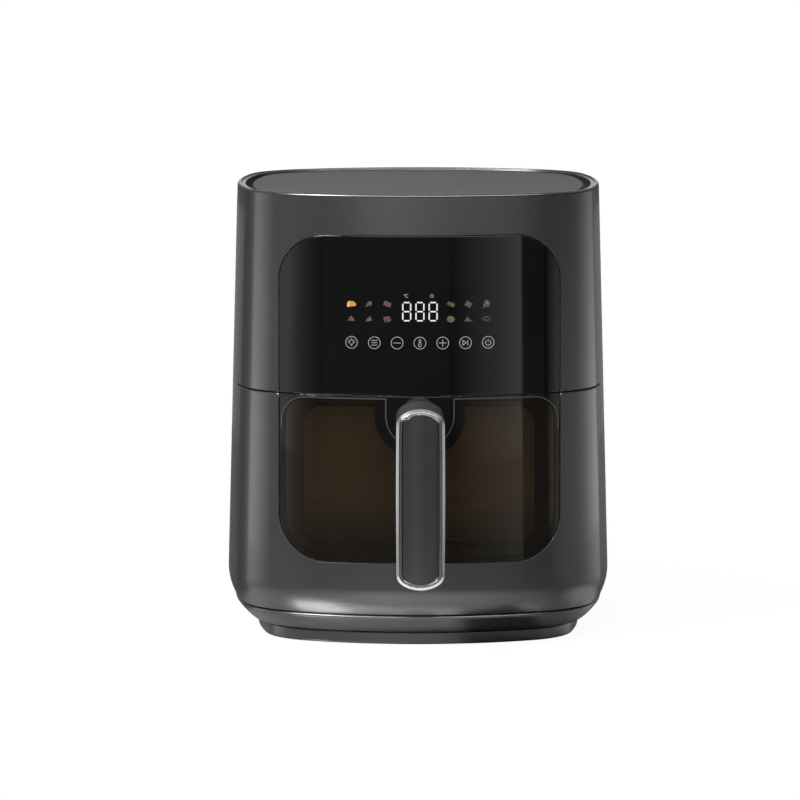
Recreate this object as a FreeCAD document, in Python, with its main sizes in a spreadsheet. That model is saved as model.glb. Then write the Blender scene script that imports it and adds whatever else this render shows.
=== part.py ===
"""Air fryer with a window drawer, as a parametric FreeCAD document in millimetres.

The outer skin is one master form, a tapered oval that sweeps in at its foot. The housing, base,
control panel, drawer fascia, window glass and top ring are all split from that form, so their
surfaces run on from one piece to the next. Front is -Y, up is +Z, and the origin is on the floor
under the middle of the whole object.
"""

import FreeCAD
import Part
import Sketcher
import math
import os
from types import SimpleNamespace

V = FreeCAD.Vector

# Driving sizes, in millimetres and degrees

SIZES = {
    # master form
    "body_width": 283.0,
    "body_depth": 300.0,
    "body_height": 326.5,
    "body_taper": 1.5,
    "front_bow": 220.0,
    "side_bow": 400.0,
    "corner_bow": 75.0,
    "foot_sweep": 38.0,
    "form_floor": 6.0,
    "wall": 2.6,
    "seam_gap": 0.8,
    "fit_gap": 0.2,
    "split_setback": 61.0,
    # foot, plinth and base
    "foot_proud": 0.8,
    "foot_sunk": 1.0,
    "foot_radius": 10.0,
    "foot_inset": 50.0,
    "plinth_height": 8.2,
    "plinth_inset": 25.0,
    "plinth_wall": 3.0,
    "plinth_edge": 2.0,
    "shadow_gap": 1.5,
    "shadow_depth": 3.0,
    "base_band": 13.1,
    "base_floor": 2.5,
    "post_radius": 6.0,
    "post_inset": 20.0,
    "base_screw_radius": 2.0,
    "base_screw_head": 4.0,
    "base_screw_head_height": 2.0,
    # drawer front
    "drawer_height": 158.9,
    "panel_width": 201.4,
    "panel_height": 113.7,
    "panel_corner": 33.0,
    "carrier_border": 6.0,
    "carrier_thickness": 2.0,
    "window_height": 119.5,
    "glass_thickness": 3.0,
    "frame_inset": 2.0,
    "frame_wall": 2.5,
    "frame_plate": 2.0,
    "frame_flange": 5.0,
    "aperture_width": 167.0,
    "aperture_height": 98.5,
    "aperture_drop": 12.1,
    "aperture_corner": 13.0,
    "mount_width": 46.8,
    "mount_height": 35.5,
    "mount_corner": 22.0,
    "boss_width": 60.0,
    "boss_height": 38.0,
    "boss_corner": 28.0,
    "boss_depth": 14.0,
    "cap_thickness": 2.4,
    "back_thickness": 2.2,
    "magnet_size": 8.0,
    "magnet_thickness": 4.0,
    "magnet_rise": 106.4,
    # handle
    "handle_reach": 51.0,
    "handle_width": 34.7,
    "handle_length": 129.0,
    "handle_drop": 3.5,
    "handle_thickness": 17.0,
    "handle_end_bow": 24.0,
    "handle_side_bow": 5000.0,
    "handle_corner": 9.0,
    "neck_height": 30.0,
    "neck_fillet": 9.0,
    "grip_round": 4.0,
    "trim_width": 2.6,
    "trim_depth": 7.0,
    "trim_setback": 1.4,
    "insert_crown": 45.0,
    "handle_screw_radius": 2.0,
    "handle_screw_pitch": 12.0,
    "handle_screw_bite": 14.0,
    # chamber
    "chamber_side_gap": 23.9,
    "chamber_rear_gap": 29.4,
    "chamber_lift": 15.0,
    "chamber_corner": 45.0,
    "liner_thickness": 1.2,
    "bezel_setback": 3.0,
    "bezel_thickness": 2.5,
    "mouth_lip": 6.0,
    "shelf_drop": 1.5,
    "hood_thickness": 1.4,
    "hood_lead": 5.0,
    "hood_lap": 3.0,
    "rail_width": 12.0,
    "rail_height": 3.8,
    "rail_side_inset": 34.0,
    # basket and crisper plate
    "slide_gap": 0.3,
    "basket_gap": 5.0,
    "basket_rear_gap": 12.8,
    "basket_setback": 60.0,
    "basket_height": 142.0,
    "basket_wall": 1.5,
    "basket_front_corner": 14.0,
    "basket_rear_corner": 40.0,
    "basket_floor_round": 9.0,
    "basket_lip": 3.0,
    "basket_lip_height": 4.0,
    "basket_window_width": 168.0,
    "basket_window_sill": 38.0,
    "basket_window_head": 7.0,
    "basket_window_corner": 12.0,
    "pane_thickness": 4.0,
    "seal_thickness": 2.0,
    "seal_lap": 1.0,
    "plate_gap": 4.0,
    "plate_thickness": 1.5,
    "plate_rise": 10.2,
    "plate_corner": 10.0,
    "plate_hole_radius": 4.0,
    "plate_hole_pitch": 22.0,
    "plate_grip_radius": 14.0,
    "bumper_radius": 5.0,
    "bumper_inset": 14.0,
    # heater and hot-air fan
    "reflector_margin": 3.0,
    "reflector_height": 36.0,
    "reflector_narrowing": 10.0,
    "reflector_flange": 7.0,
    "reflector_thickness": 1.2,
    "element_radius": 3.25,
    "element_margin": 16.0,
    "element_spacing": 14.0,
    "element_lift": 9.0,
    "element_leg_bend": 10.0,
    "element_leg_height": 34.0,
    "clip_width": 8.0,
    "guard_thickness": 1.5,
    "guard_lap": 4.0,
    "guard_clearance": 0.8,
    "guard_ring": 3.0,
    "guard_ring_pitch": 16.0,
    "shaft_radius": 3.0,
    "fan_margin": 10.0,
    "fan_lift": 16.0,
    "fan_height": 14.0,
    "fan_plate": 1.2,
    "blade_thickness": 1.2,
    "hub_radius": 8.0,
    # motor and cooling fan
    "bracket_height": 58.0,
    "bracket_thickness": 2.0,
    "bracket_leg": 8.0,
    "bracket_side_inset": 17.0,
    "bracket_half_y": 62.0,
    "cooling_fan_radius": 58.0,
    "cooling_fan_lift": 44.0,
    "cooling_fan_height": 10.0,
    "cooling_blade_chord": 22.0,
    "motor_radius": 30.0,
    "motor_height": 38.0,
    "motor_wall": 2.0,
    "motor_cap": 2.5,
    "bearing_radius": 6.0,
    "bearing_height": 6.0,
    "bearing_gap": 0.03,
    "bearing_boss": 9.0,
    "stator_bore": 17.0,
    "stator_height": 22.0,
    "air_gap": 0.5,
    "shaft_top": 6.0,
    # boards, lamp and sensor
    "board_setback": 28.0,
    "board_width": 150.0,
    "board_height": 62.0,
    "board_lift": 20.0,
    "board_thickness": 1.6,
    "board_boss_radius": 4.0,
    "board_boss_inset": 7.0,
    "display_width": 42.0,
    "display_height": 20.0,
    "display_depth": 17.5,
    "display_border": 1.5,
    "display_lift": 60.2,
    "touch_lift": 38.2,
    "touch_pitch": 16.45,
    "touch_radius": 3.2,
    "power_board_width": 120.0,
    "power_board_depth": 38.0,
    "power_board_gap": 6.0,
    "standoff_radius": 3.0,
    "standoff_height": 8.0,
    "relay_width": 20.0,
    "relay_height": 16.0,
    "capacitor_radius": 8.0,
    "capacitor_height": 22.0,
    "lamp_side_inset": 20.0,
    "lamp_front_inset": 17.0,
    "lamp_radius": 12.0,
    "lamp_height": 22.0,
    "lamp_lens_radius": 9.0,
    "lamp_flange": 1.5,
    "probe_radius": 2.5,
    "probe_drop": 10.0,
    "probe_height": 24.0,
    "probe_collar": 6.0,
    "reed_size": 8.0,
    "reed_thickness": 6.0,
    # rear outlet and cord gland
    "vent_reach": 8.0,
    "vent_width": 88.0,
    "vent_height": 44.0,
    "vent_drop": 26.5,
    "vent_border": 6.0,
    "vent_wall": 2.5,
    "vent_slot": 4.0,
    "vent_pitch": 8.0,
    "vent_corner": 5.0,
    "duct_wall": 1.5,
    "duct_lap": 5.0,
    "gland_rise": 38.4,
    "gland_radius": 7.0,
    "gland_collar": 10.0,
    "gland_collar_depth": 3.0,
    "gland_bore": 3.6,
    # top
    "rim_step": 0.8,
    "ledge_drop": 10.5,
    "ledge_width": 3.4,
    "ledge_thickness": 2.5,
    "ring_border": 3.6,
    "groove_width": 5.2,
    "groove_depth": 7.0,
    "ring_lip": 3.0,
    "cover_thickness": 3.0,
    "cover_drop": 0.4,
    "cover_edge": 1.0,
    "inlet_slot": 3.0,
    "inlet_pitch": 9.0,
}

FEET_SIGNS = ((-1, -1), (1, -1), (1, 1), (-1, 1))
TOUCH_KEYS = 7
HOT_BLADES = 10
COOLING_BLADES = 9
COOLING_PITCH = 28.0
ELEMENT_GAP = 24.0
CLIP_ANGLES = (60.0, 180.0, 300.0)
GUARD_SPOKES = 3
GUARD_RINGS = 4
INLET_SLOTS = 19
VENT_SLOTS = 5
PLATE_HOLES = 7


class Size:
    """A size worked out from the sheet: the expression that the document keeps, and its value now."""

    def __init__(self, text, value):
        self.text = text
        self.value = value

    def __add__(self, other):
        return joined(self, "+", other)

    def __radd__(self, other):
        return joined(other, "+", self)

    def __sub__(self, other):
        return joined(self, "-", other)

    def __rsub__(self, other):
        return joined(other, "-", self)

    def __mul__(self, other):
        return joined(self, "*", other)

    def __rmul__(self, other):
        return joined(other, "*", self)

    def __truediv__(self, other):
        return joined(self, "/", other)

    def __neg__(self):
        return joined(0.0, "-", self)


def as_size(x):
    return x if isinstance(x, Size) else Size(f"({float(x)!r})", float(x))


def joined(a, sign, b):
    a, b = as_size(a), as_size(b)
    value = {
        "+": lambda: a.value + b.value,
        "-": lambda: a.value - b.value,
        "*": lambda: a.value * b.value,
        "/": lambda: a.value / b.value,
    }[sign]()
    return Size(f"({a.text} {sign} {b.text})", value)


def tangent(angle):
    """Tangent of an angle in degrees."""
    return Size(f"tan({angle.text} * 1 deg)", math.tan(math.radians(angle.value)))


# The document and its sheet

doc = FreeCAD.newDocument("air_fryer")
sheet = doc.addObject("Spreadsheet::Sheet", "Sizes")
for row, (alias, number) in enumerate(SIZES.items(), start=1):
    sheet.set(f"A{row}", alias)
    sheet.set(f"B{row}", str(number))
    sheet.setAlias(f"B{row}", alias)
doc.recompute()

s = SimpleNamespace(**{alias: Size(f"Sizes.{alias}", number) for alias, number in SIZES.items()})
parts = {}


def bind(obj, prop, size):
    obj.setExpression(prop, as_size(size).text)


# Levels and places that several pieces share

CENTRE_Y = (s.handle_reach - s.vent_reach) / 2
HALF_WIDTH = s.body_width / 2
HALF_DEPTH = s.body_depth / 2
FAR = s.body_width + s.body_depth
PLINTH_TOP = s.foot_proud + s.plinth_height
BASE_EDGE = PLINTH_TOP + s.shadow_gap
BASE_SEAM = BASE_EDGE + s.base_band
BASE_TOP = BASE_SEAM - s.seam_gap / 2
DRAWER_SEAM = BASE_SEAM + s.drawer_height
FASCIA_BOTTOM = BASE_SEAM + s.seam_gap / 2
FASCIA_TOP = DRAWER_SEAM - s.seam_gap / 2
HOUSING_EDGE = DRAWER_SEAM + s.seam_gap / 2
FASCIA_REAR = -s.split_setback - s.seam_gap / 2
HOUSING_FRONT = -s.split_setback + s.seam_gap / 2
RIM = s.body_height

LINER_BOTTOM = BASE_EDGE + s.base_floor + s.chamber_lift
LINER_FLOOR = LINER_BOTTOM + s.liner_thickness
BEZEL_Y = -s.split_setback + s.bezel_setback
LINER_FRONT = BEZEL_Y + s.bezel_thickness
CHAMBER_HALF = HALF_WIDTH - s.wall - s.chamber_side_gap
CHAMBER_REAR = HALF_DEPTH - s.wall - s.chamber_rear_gap
SHELF_BOTTOM = DRAWER_SEAM + s.shelf_drop
HOOD_BOTTOM = SHELF_BOTTOM + s.bezel_thickness
HOOD_TOP = HOOD_BOTTOM + s.hood_thickness

MOUTH_HALF = CHAMBER_HALF - s.mouth_lip
BASKET_HALF = MOUTH_HALF - s.basket_gap
BASKET_FRONT = -HALF_DEPTH + s.basket_setback
BASKET_REAR = CHAMBER_REAR - s.liner_thickness - s.basket_rear_gap
BASKET_BOTTOM = LINER_FLOOR + s.rail_height + s.slide_gap
BASKET_TOP = BASKET_BOTTOM + s.basket_height
BASKET_FLOOR = BASKET_BOTTOM + s.basket_wall
HOOD_FRONT = BASKET_FRONT - s.hood_lead
SEAL_FRONT = BASKET_FRONT - s.seal_thickness
PANE_FRONT = SEAL_FRONT - s.pane_thickness
FRAME_REAR_FRONT = PANE_FRONT - s.frame_plate
CAP_BOTTOM = FASCIA_TOP - s.cap_thickness
SILL = BASKET_BOTTOM + s.basket_window_sill
HEAD = BASKET_TOP - s.basket_window_head

WINDOW_BOTTOM = FASCIA_TOP - s.window_height
PANEL_TOP = HOUSING_EDGE + s.panel_height
PANEL_HALF = s.panel_width / 2
HANDLE_FRONT = -HALF_DEPTH - s.handle_reach
CORE_FRONT = HANDLE_FRONT + s.trim_setback + s.trim_depth / 2
HANDLE_TOP = DRAWER_SEAM - s.handle_drop
HANDLE_MIDDLE = HANDLE_TOP - s.handle_length / 2

FAN_Y = (BASKET_FRONT + BASKET_REAR) / 2
REFLECTOR_RADIUS = (BASKET_REAR - BASKET_FRONT) / 2 - s.reflector_margin
HOOD_HOLE = REFLECTOR_RADIUS - s.guard_lap
REFLECTOR_TOP = HOOD_TOP + s.reflector_height
ELEMENT_LEVEL = HOOD_TOP + s.element_lift
OUTER_RING = REFLECTOR_RADIUS - s.element_margin
INNER_RING = OUTER_RING - s.element_spacing
FAN_RADIUS = INNER_RING - s.fan_margin
FAN_BOTTOM = HOOD_TOP + s.fan_lift
FAN_TOP = FAN_BOTTOM + s.fan_height
BRACKET_TOP = HOOD_TOP + s.bracket_height
BRACKET_BOTTOM = BRACKET_TOP - s.bracket_thickness
MOTOR_TOP = BRACKET_TOP + s.motor_height
COOLING_BOTTOM = HOOD_TOP + s.cooling_fan_lift
BRACKET_HALF_X = CHAMBER_HALF - s.bracket_side_inset
BOARD_FRONT = -HALF_DEPTH + s.board_setback
LAMP_X = CHAMBER_HALF - s.lamp_side_inset
LAMP_Y = HOOD_FRONT + s.lamp_front_inset
VENT_LEVEL = HOOD_BOTTOM - s.vent_drop
GLAND_LEVEL = BASE_SEAM + s.gland_rise
MAGNET_LEVEL = BASE_SEAM + s.magnet_rise
LENS_INSET = s.wall


# Shapes that the pieces are built from


def placed(obj, x, y, z):
    """Puts an object at a point of the form's own frame, whose middle stands CENTRE_Y behind the origin."""
    bind(obj, "Placement.Base.x", x)
    bind(obj, "Placement.Base.y", as_size(y) + CENTRE_Y)
    bind(obj, "Placement.Base.z", z)
    return obj


def box(name, x, y, z):
    """A block between two ends along each axis, given as pairs."""
    obj = doc.addObject("Part::Box", name)
    for prop, (low, high) in (("Length", x), ("Width", y), ("Height", z)):
        bind(obj, prop, as_size(high) - low)
    return placed(obj, x[0], y[0], z[0])


def cylinder(name, radius, ends, x, y, along="Z"):
    """A round bar between two ends. Along Z, x and y place its axis; along Y, y is its level."""
    obj = doc.addObject("Part::Cylinder", name)
    bind(obj, "Radius", radius)
    bind(obj, "Height", as_size(ends[1]) - ends[0])
    if along == "Z":
        return placed(obj, x, y, ends[0])
    obj.Placement = FreeCAD.Placement(V(), FreeCAD.Rotation(V(1, 0, 0), -90))
    return placed(obj, x, ends[0], y)


def cut(name, base, *tools):
    for tool in tools:
        obj = doc.addObject("Part::Cut", name)
        obj.Base, obj.Tool = base, tool
        base = obj
    return base


def fuse(name, *shapes):
    obj = doc.addObject("Part::MultiFuse", name)
    obj.Shapes = list(shapes)
    obj.Refine = True
    return obj


def common(name, *shapes):
    obj = doc.addObject("Part::MultiCommon", name)
    obj.Shapes = list(shapes)
    return obj


def compound(name, *shapes):
    """Separate solids that share one node."""
    obj = doc.addObject("Part::Compound", name)
    obj.Links = list(shapes)
    return obj


def part(label, obj):
    """Names a finished sub-part, which is written to a file of that name."""
    obj.Label = label
    parts[label] = obj
    return obj


def new_body(name, y=0.0, z=0.0):
    obj = doc.addObject("PartDesign::Body", name)
    return placed(obj, 0.0, y, z)


def new_sketch(owner, plane="XY_Plane", lift=0.0, up=0.0):
    """A sketch on one of the body's planes, lifted off it and moved up in it."""
    obj = owner.newObject("Sketcher::SketchObject", owner.Name + "_sketch")
    obj.AttachmentSupport = [(next(f for f in owner.Origin.OriginFeatures if f.Role == plane), "")]
    obj.MapMode = "FlatFace"
    bind(obj, "AttachmentOffset.Base.z", lift)
    bind(obj, "AttachmentOffset.Base.y", up)
    return obj


def held(sketch, kind, *where, size):
    """Adds a dimension to a sketch and ties it to the sheet."""
    size = as_size(size)
    index = sketch.addConstraint(Sketcher.Constraint(kind, *where, size.value))
    sketch.setExpression(f"Constraints[{index}]", size.text)


def polygon(sketch, points):
    """A closed outline of straight sides through points given as pairs of sizes."""
    points = [(as_size(x), as_size(y)) for x, y in points]
    first = sketch.GeometryCount
    count = len(points)
    for i, (x, y) in enumerate(points):
        after = points[(i + 1) % count]
        ends = V(x.value, y.value), V(after[0].value, after[1].value)
        sketch.addGeometry(Part.LineSegment(*ends), False)
    for i in range(count):
        after = first + (i + 1) % count
        sketch.addConstraint(Sketcher.Constraint("Coincident", first + i, 2, after, 1))
    for i, (x, y) in enumerate(points):
        held(sketch, "DistanceX", -1, 1, first + i, 1, size=x)
        held(sketch, "DistanceY", -1, 1, first + i, 1, size=y)


def rectangle(sketch, x, y):
    polygon(sketch, [(x[0], y[0]), (x[1], y[0]), (x[1], y[1]), (x[0], y[1])])


def circle(sketch, x, y, radius):
    x, y, radius = as_size(x), as_size(y), as_size(radius)
    middle = V(x.value, y.value)
    index = sketch.addGeometry(Part.Circle(middle, V(0, 0, 1), radius.value), False)
    held(sketch, "DistanceX", -1, 1, index, 3, size=x)
    held(sketch, "DistanceY", -1, 1, index, 3, size=y)
    held(sketch, "Radius", index, size=radius)


def oval(sketch, half_x, half_y, side_bow, end_bow, corner):
    """Eight tangent arcs about the sketch's origin: two shallow sides, two shallow ends and four corners."""
    side_middle = side_bow - half_x
    end_middle = end_bow - half_y
    # the corner's centre lies a known way from the centres of the side and end arcs it touches
    reach_side = side_bow.value - corner.value
    reach_end = end_bow.value - corner.value
    sx, ey = -side_middle.value, -end_middle.value
    apart = math.hypot(sx, ey)
    along = (reach_side**2 - reach_end**2 + apart**2) / (2 * apart)
    off = math.sqrt(reach_side**2 - along**2)
    to_end = V(-sx, ey) / apart
    across = V(-to_end.y, to_end.x) * off
    foot = V(sx, 0) + to_end * along
    middle = max(foot + across, foot - across, key=lambda spot: spot.y)
    side_turn = math.atan2(middle.y, middle.x - sx)
    end_turn = math.atan2(middle.y - ey, middle.x)
    quarter = math.pi / 2
    turns = []
    for k in range(4):
        first, last = (side_turn, end_turn) if k % 2 == 0 else (math.pi - end_turn, math.pi - side_turn)
        turns.append((first + (k // 2) * math.pi, last + (k // 2) * math.pi))
    centres = [V(sx * middle.x, sy * middle.y) for sx, sy in ((1, 1), (-1, 1), (-1, -1), (1, -1))]
    mains = [(V(sx, 0), side_bow), (V(0, ey), end_bow), (V(-sx, 0), side_bow), (V(0, -ey), end_bow)]
    first = sketch.GeometryCount
    for k in range(4):
        spot, radius = mains[k]
        start = turns[k - 1][1] - (2 * math.pi if k == 0 else 0)
        arc = Part.Circle(spot, V(0, 0, 1), radius.value)
        sketch.addGeometry(Part.ArcOfCircle(arc, start, turns[k][0]), False)
        arc = Part.Circle(centres[k], V(0, 0, 1), corner.value)
        sketch.addGeometry(Part.ArcOfCircle(arc, *turns[k]), False)
    for k in range(8):
        sketch.addConstraint(Sketcher.Constraint("Tangent", first + k, 2, first + (k + 1) % 8, 1))
    for k in range(4):
        axis, kind, size = ((-1, "DistanceX", side_middle), (-2, "DistanceY", end_middle))[k % 2]
        arc = first + 2 * k
        sketch.addConstraint(Sketcher.Constraint("PointOnObject", arc, 3, axis))
        held(sketch, kind, -1, 1, arc, 3, size=-size if k < 2 else size)
        held(sketch, "Radius", arc, size=mains[k][1])
        held(sketch, "Radius", arc + 1, size=corner)


def pad(owner, sketch, length, taper=None, reverse=False):
    obj = owner.newObject("PartDesign::Pad", owner.Name + "_pad")
    obj.Profile = sketch
    bind(obj, "Length", length)
    if taper is not None:
        bind(obj, "TaperAngle", taper)
    obj.Reversed = reverse
    return obj


def pocket(owner, sketch, depth, reverse=False):
    doc.recompute()
    before = owner.Shape.Volume
    obj = owner.newObject("PartDesign::Pocket", owner.Name + "_pocket")
    obj.Profile = sketch
    bind(obj, "Length", depth)
    obj.Reversed = reverse
    doc.recompute()
    if owner.Shape.Volume >= before:
        raise RuntimeError(f"the pocket of {owner.Name} cuts nothing")
    return obj


def revolved(owner, sketch):
    """Turns a sketch on the XZ plane about the body's Z axis."""
    obj = owner.newObject("PartDesign::Revolution", owner.Name + "_turned")
    obj.Profile = sketch
    obj.ReferenceAxis = (sketch, ["V_Axis"])
    obj.Angle = 360
    return obj


def rounded(owner, feature, radius, picks):
    """Fillets the edges of a feature that picks says yes to."""
    doc.recompute()
    names = [f"Edge{i}" for i, edge in enumerate(feature.Shape.Edges, start=1) if picks(edge)]
    if not names:
        raise RuntimeError(f"no edge of {owner.Name} to round")
    obj = owner.newObject("PartDesign::Fillet", owner.Name + "_fillet")
    obj.Base = (feature, names)
    bind(obj, "Radius", radius)
    return obj


def at_level(z):
    """Picks the edges that lie flat at a level of the body's own frame."""
    return lambda edge: abs(edge.BoundBox.ZMin - z) < 1e-4 and abs(edge.BoundBox.ZMax - z) < 1e-4


def upright(test):
    """Picks the straight upright edges whose place passes a test on x and y."""

    def picks(edge):
        bounds = edge.BoundBox
        thin = bounds.XLength < 1e-4 and bounds.YLength < 1e-4
        return thin and test(bounds.XMin, bounds.YMin)

    return picks


def level_through(test):
    """Picks the straight edges along Y whose place passes a test on x and z."""

    def picks(edge):
        bounds = edge.BoundBox
        thin = bounds.XLength < 1e-4 and bounds.ZLength < 1e-4
        return thin and test(bounds.XMin, bounds.ZMin)

    return picks


def slab(name, low, high):
    return box(name, (-FAR, FAR), (-FAR, FAR), (low, high))


FORMS = {}


def form(inset):
    """The master form taken in by an inset all round, with its foot swept in to match."""
    inset = as_size(inset)
    if inset.text not in FORMS:
        owner = new_body("form")
        sketch = new_sketch(owner, lift=s.form_floor + inset)
        half_x, half_y = HALF_WIDTH - inset, HALF_DEPTH - inset
        oval(sketch, half_x, half_y, s.side_bow - inset, s.front_bow - inset, s.corner_bow - inset)
        rise = RIM - s.form_floor - inset
        if inset.value > 0:
            rise = rise + s.wall
        feature = pad(owner, sketch, rise, taper=-s.body_taper)
        foot = s.form_floor.value + inset.value
        rounded(owner, feature, s.foot_sweep - inset, at_level(foot))
        FORMS[inset.text] = owner
    return FORMS[inset.text]


def layer(name, outer_inset, inner_inset):
    """The skin between two insets of the master form."""
    return cut(name, form(outer_inset), form(inner_inset))


def front_prism(name, half, low, high, corner, rounds_top, grow=0.0):
    """A block through the front skin, seen from the front as a rectangle with two round corners."""
    owner = new_body(name)
    sketch = new_sketch(owner, "XZ_Plane")
    top, bottom = (high + grow, low) if rounds_top else (high, low - grow)
    rectangle(sketch, (-half - grow, half + grow), (bottom, top))
    feature = pad(owner, sketch, FAR)
    level = top.value if rounds_top else bottom.value
    rounded(owner, feature, corner + grow, level_through(lambda x, z: abs(z - level) < 1e-4))
    return owner


# Foot, plinth and base


def make_plinth():
    """A stepped-in stand with a recess for each foot and a shadow gap under the base."""
    owner = new_body("plinth")
    sketch = new_sketch(owner, lift=s.foot_proud)
    plan_oval(sketch, s.plinth_inset)
    feature = pad(owner, sketch, s.plinth_height)
    rounded(owner, feature, s.plinth_edge, at_level(s.foot_proud.value))
    sketch = new_sketch(owner, lift=PLINTH_TOP)
    plan_oval(sketch, s.plinth_inset + s.shadow_depth)
    pad(owner, sketch, s.shadow_gap)
    sketch = new_sketch(owner, lift=BASE_EDGE)
    plan_oval(sketch, s.plinth_inset + s.shadow_depth + s.plinth_wall)
    pocket(owner, sketch, s.plinth_height + s.shadow_gap - s.plinth_wall)
    sketch = new_sketch(owner, lift=s.foot_proud)
    for x, y in foot_places():
        circle(sketch, x, y, s.foot_radius)
    pocket(owner, sketch, s.foot_sunk, reverse=True)
    return owner


def plan_oval(sketch, inset):
    oval(
        sketch,
        HALF_WIDTH - inset,
        HALF_DEPTH - inset,
        s.side_bow - inset,
        s.front_bow - inset,
        s.corner_bow - inset,
    )


def foot_places():
    x = HALF_WIDTH - s.plinth_inset - s.foot_inset
    y = HALF_DEPTH - s.plinth_inset - s.foot_inset
    return [(sx * x, sy * y) for sx, sy in FEET_SIGNS]


def make_feet():
    feet = []
    for x, y in foot_places():
        feet.append(cylinder("foot", s.foot_radius, (0.0, s.foot_proud + s.foot_sunk), x, y))
    return compound("feet", *feet)


def make_base_screws():
    """Screws up through the plinth's floor into the base, their heads sunk in the plinth."""
    screws = []
    head = (s.foot_proud, s.foot_proud + s.base_screw_head_height)
    for sx, sy in FEET_SIGNS:
        x, y = base_screw_place(sx, sy)
        shank = cylinder("shank", s.base_screw_radius, (head[1], BASE_EDGE + s.base_floor), x, y)
        screws.append(fuse("base_screw", shank, cylinder("head", s.base_screw_head, head, x, y)))
    return screws


def base_screw_place(sx, sy):
    return sx * (CHAMBER_HALF - s.post_inset), sy * (CHAMBER_REAR - s.post_inset * 2)


def make_base():
    """The lower band of the form with a floor, a deck under the drawer front and posts for the chamber."""
    blank = common("base_blank", form(0.0), slab("band", BASE_EDGE, BASE_TOP))
    hollow = common("base_hollow", form(s.wall), slab("above_floor", BASE_EDGE + s.base_floor, RIM))
    deck_space = box("deck_space", (-FAR, FAR), (-FAR, LINER_FRONT), (BASE_TOP - s.base_floor, BASE_TOP))
    deck = common("deck", form(s.wall), deck_space)
    posts = []
    for sx, sy in FEET_SIGNS:
        x = sx * (CHAMBER_HALF - s.post_inset)
        y = (LINER_FRONT + CHAMBER_REAR) / 2 + sy * ((CHAMBER_REAR - LINER_FRONT) / 2 - s.post_inset)
        posts.append(cylinder("post", s.post_radius, (BASE_EDGE, LINER_BOTTOM), x, y))
    return fuse("base", cut("base_tray", blank, hollow), deck, *posts)


# Housing, top and rear


def panel_prism(grow=0.0):
    low = HOUSING_EDGE - s.panel_corner
    return front_prism("panel_block", PANEL_HALF, low, PANEL_TOP, s.panel_corner, True, grow)


def vent_hole(grow=0.0):
    half, tall = s.vent_width / 2 + grow, s.vent_height / 2 + grow
    levels = (VENT_LEVEL - tall, VENT_LEVEL + tall)
    return box("vent_hole", (-half, half), (CHAMBER_REAR, FAR), levels)


def make_housing():
    """The wrap-round shell: open below, in front for the drawer, and at the top for the ring."""
    skin = layer("skin", 0.0, s.wall)
    blank = common("housing_blank", skin, slab("above_base", BASE_TOP, RIM + s.wall))
    drawer_space = box("drawer_space", (-FAR, FAR), (-FAR, HOUSING_FRONT), (0.0, HOUSING_EDGE))
    ledge_top = RIM - s.ledge_drop
    ledge_skin = layer("ledge_skin", s.wall, s.wall + s.ledge_width)
    ledge = common("ledge", ledge_skin, slab("ledge_slab", ledge_top - s.ledge_thickness, ledge_top))
    gland_hole = cylinder("gland_hole", s.gland_radius, (CHAMBER_REAR, FAR), 0.0, GLAND_LEVEL, "Y")
    opened = cut("housing_open", blank, drawer_space, panel_prism(s.fit_gap), vent_hole(), gland_hole)
    return fuse("housing", opened, ledge)


def make_top_ring():
    """A ring in the housing's mouth: a border, a sunken air inlet, and the lip that carries the cover."""
    border = s.wall + s.ring_border
    lip = border + s.groove_width
    inside = lip + s.ring_lip
    ledge_top = RIM - s.ledge_drop
    floor = RIM - s.groove_depth
    ring_skin = layer("ring_skin", s.wall + s.fit_gap, inside)
    blank = common("ring_blank", ring_skin, slab("ring_slab", ledge_top, RIM - s.rim_step))
    well = common("ring_well", form(border), slab("well_slab", floor, RIM + s.wall))
    lip_wall = common("ring_lip", layer("lip_skin", lip, inside), slab("lip_slab", floor, cover_bottom()))
    slots = inlet_slots(floor)
    trough = common("trough", layer("trough_skin", border, lip), slots)
    return cut("ring", fuse("ring_walls", cut("ring_step", blank, well), lip_wall), trough)


def inlet_slots(floor):
    """A row of slots across the groove in front of and behind the cover."""
    owner = new_body("inlet_slots")
    sketch = new_sketch(owner, lift=RIM - s.ledge_drop - s.wall)
    start = -(INLET_SLOTS - 1) / 2 * s.inlet_pitch
    rectangle(sketch, (start - s.inlet_slot / 2, start + s.inlet_slot / 2), (-HALF_DEPTH, HALF_DEPTH))
    feature = pad(owner, sketch, s.ledge_drop)
    doc.recompute()
    pattern = owner.newObject("PartDesign::LinearPattern", "inlet_row")
    pattern.Originals = [feature]
    pattern.Direction = (sketch, ["H_Axis"])
    bind(pattern, "Length", (INLET_SLOTS - 1) * s.inlet_pitch)
    pattern.Occurrences = INLET_SLOTS
    owner.Tip = pattern
    return owner


def cover_bottom():
    return RIM - s.cover_drop - s.cover_thickness


def make_top_cover():
    """The flat lid plate, as wide as the ring's lip that it lies on, with a softened edge."""
    owner = new_body("cover")
    sketch = new_sketch(owner, lift=cover_bottom())
    drawn_in = (RIM - s.form_floor) * tangent(s.body_taper)
    plan_oval(sketch, s.wall + s.ring_border + s.groove_width + drawn_in)
    feature = pad(owner, sketch, s.cover_thickness)
    rounded(owner, feature, s.cover_edge, at_level((RIM - s.cover_drop).value))
    return owner


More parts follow.
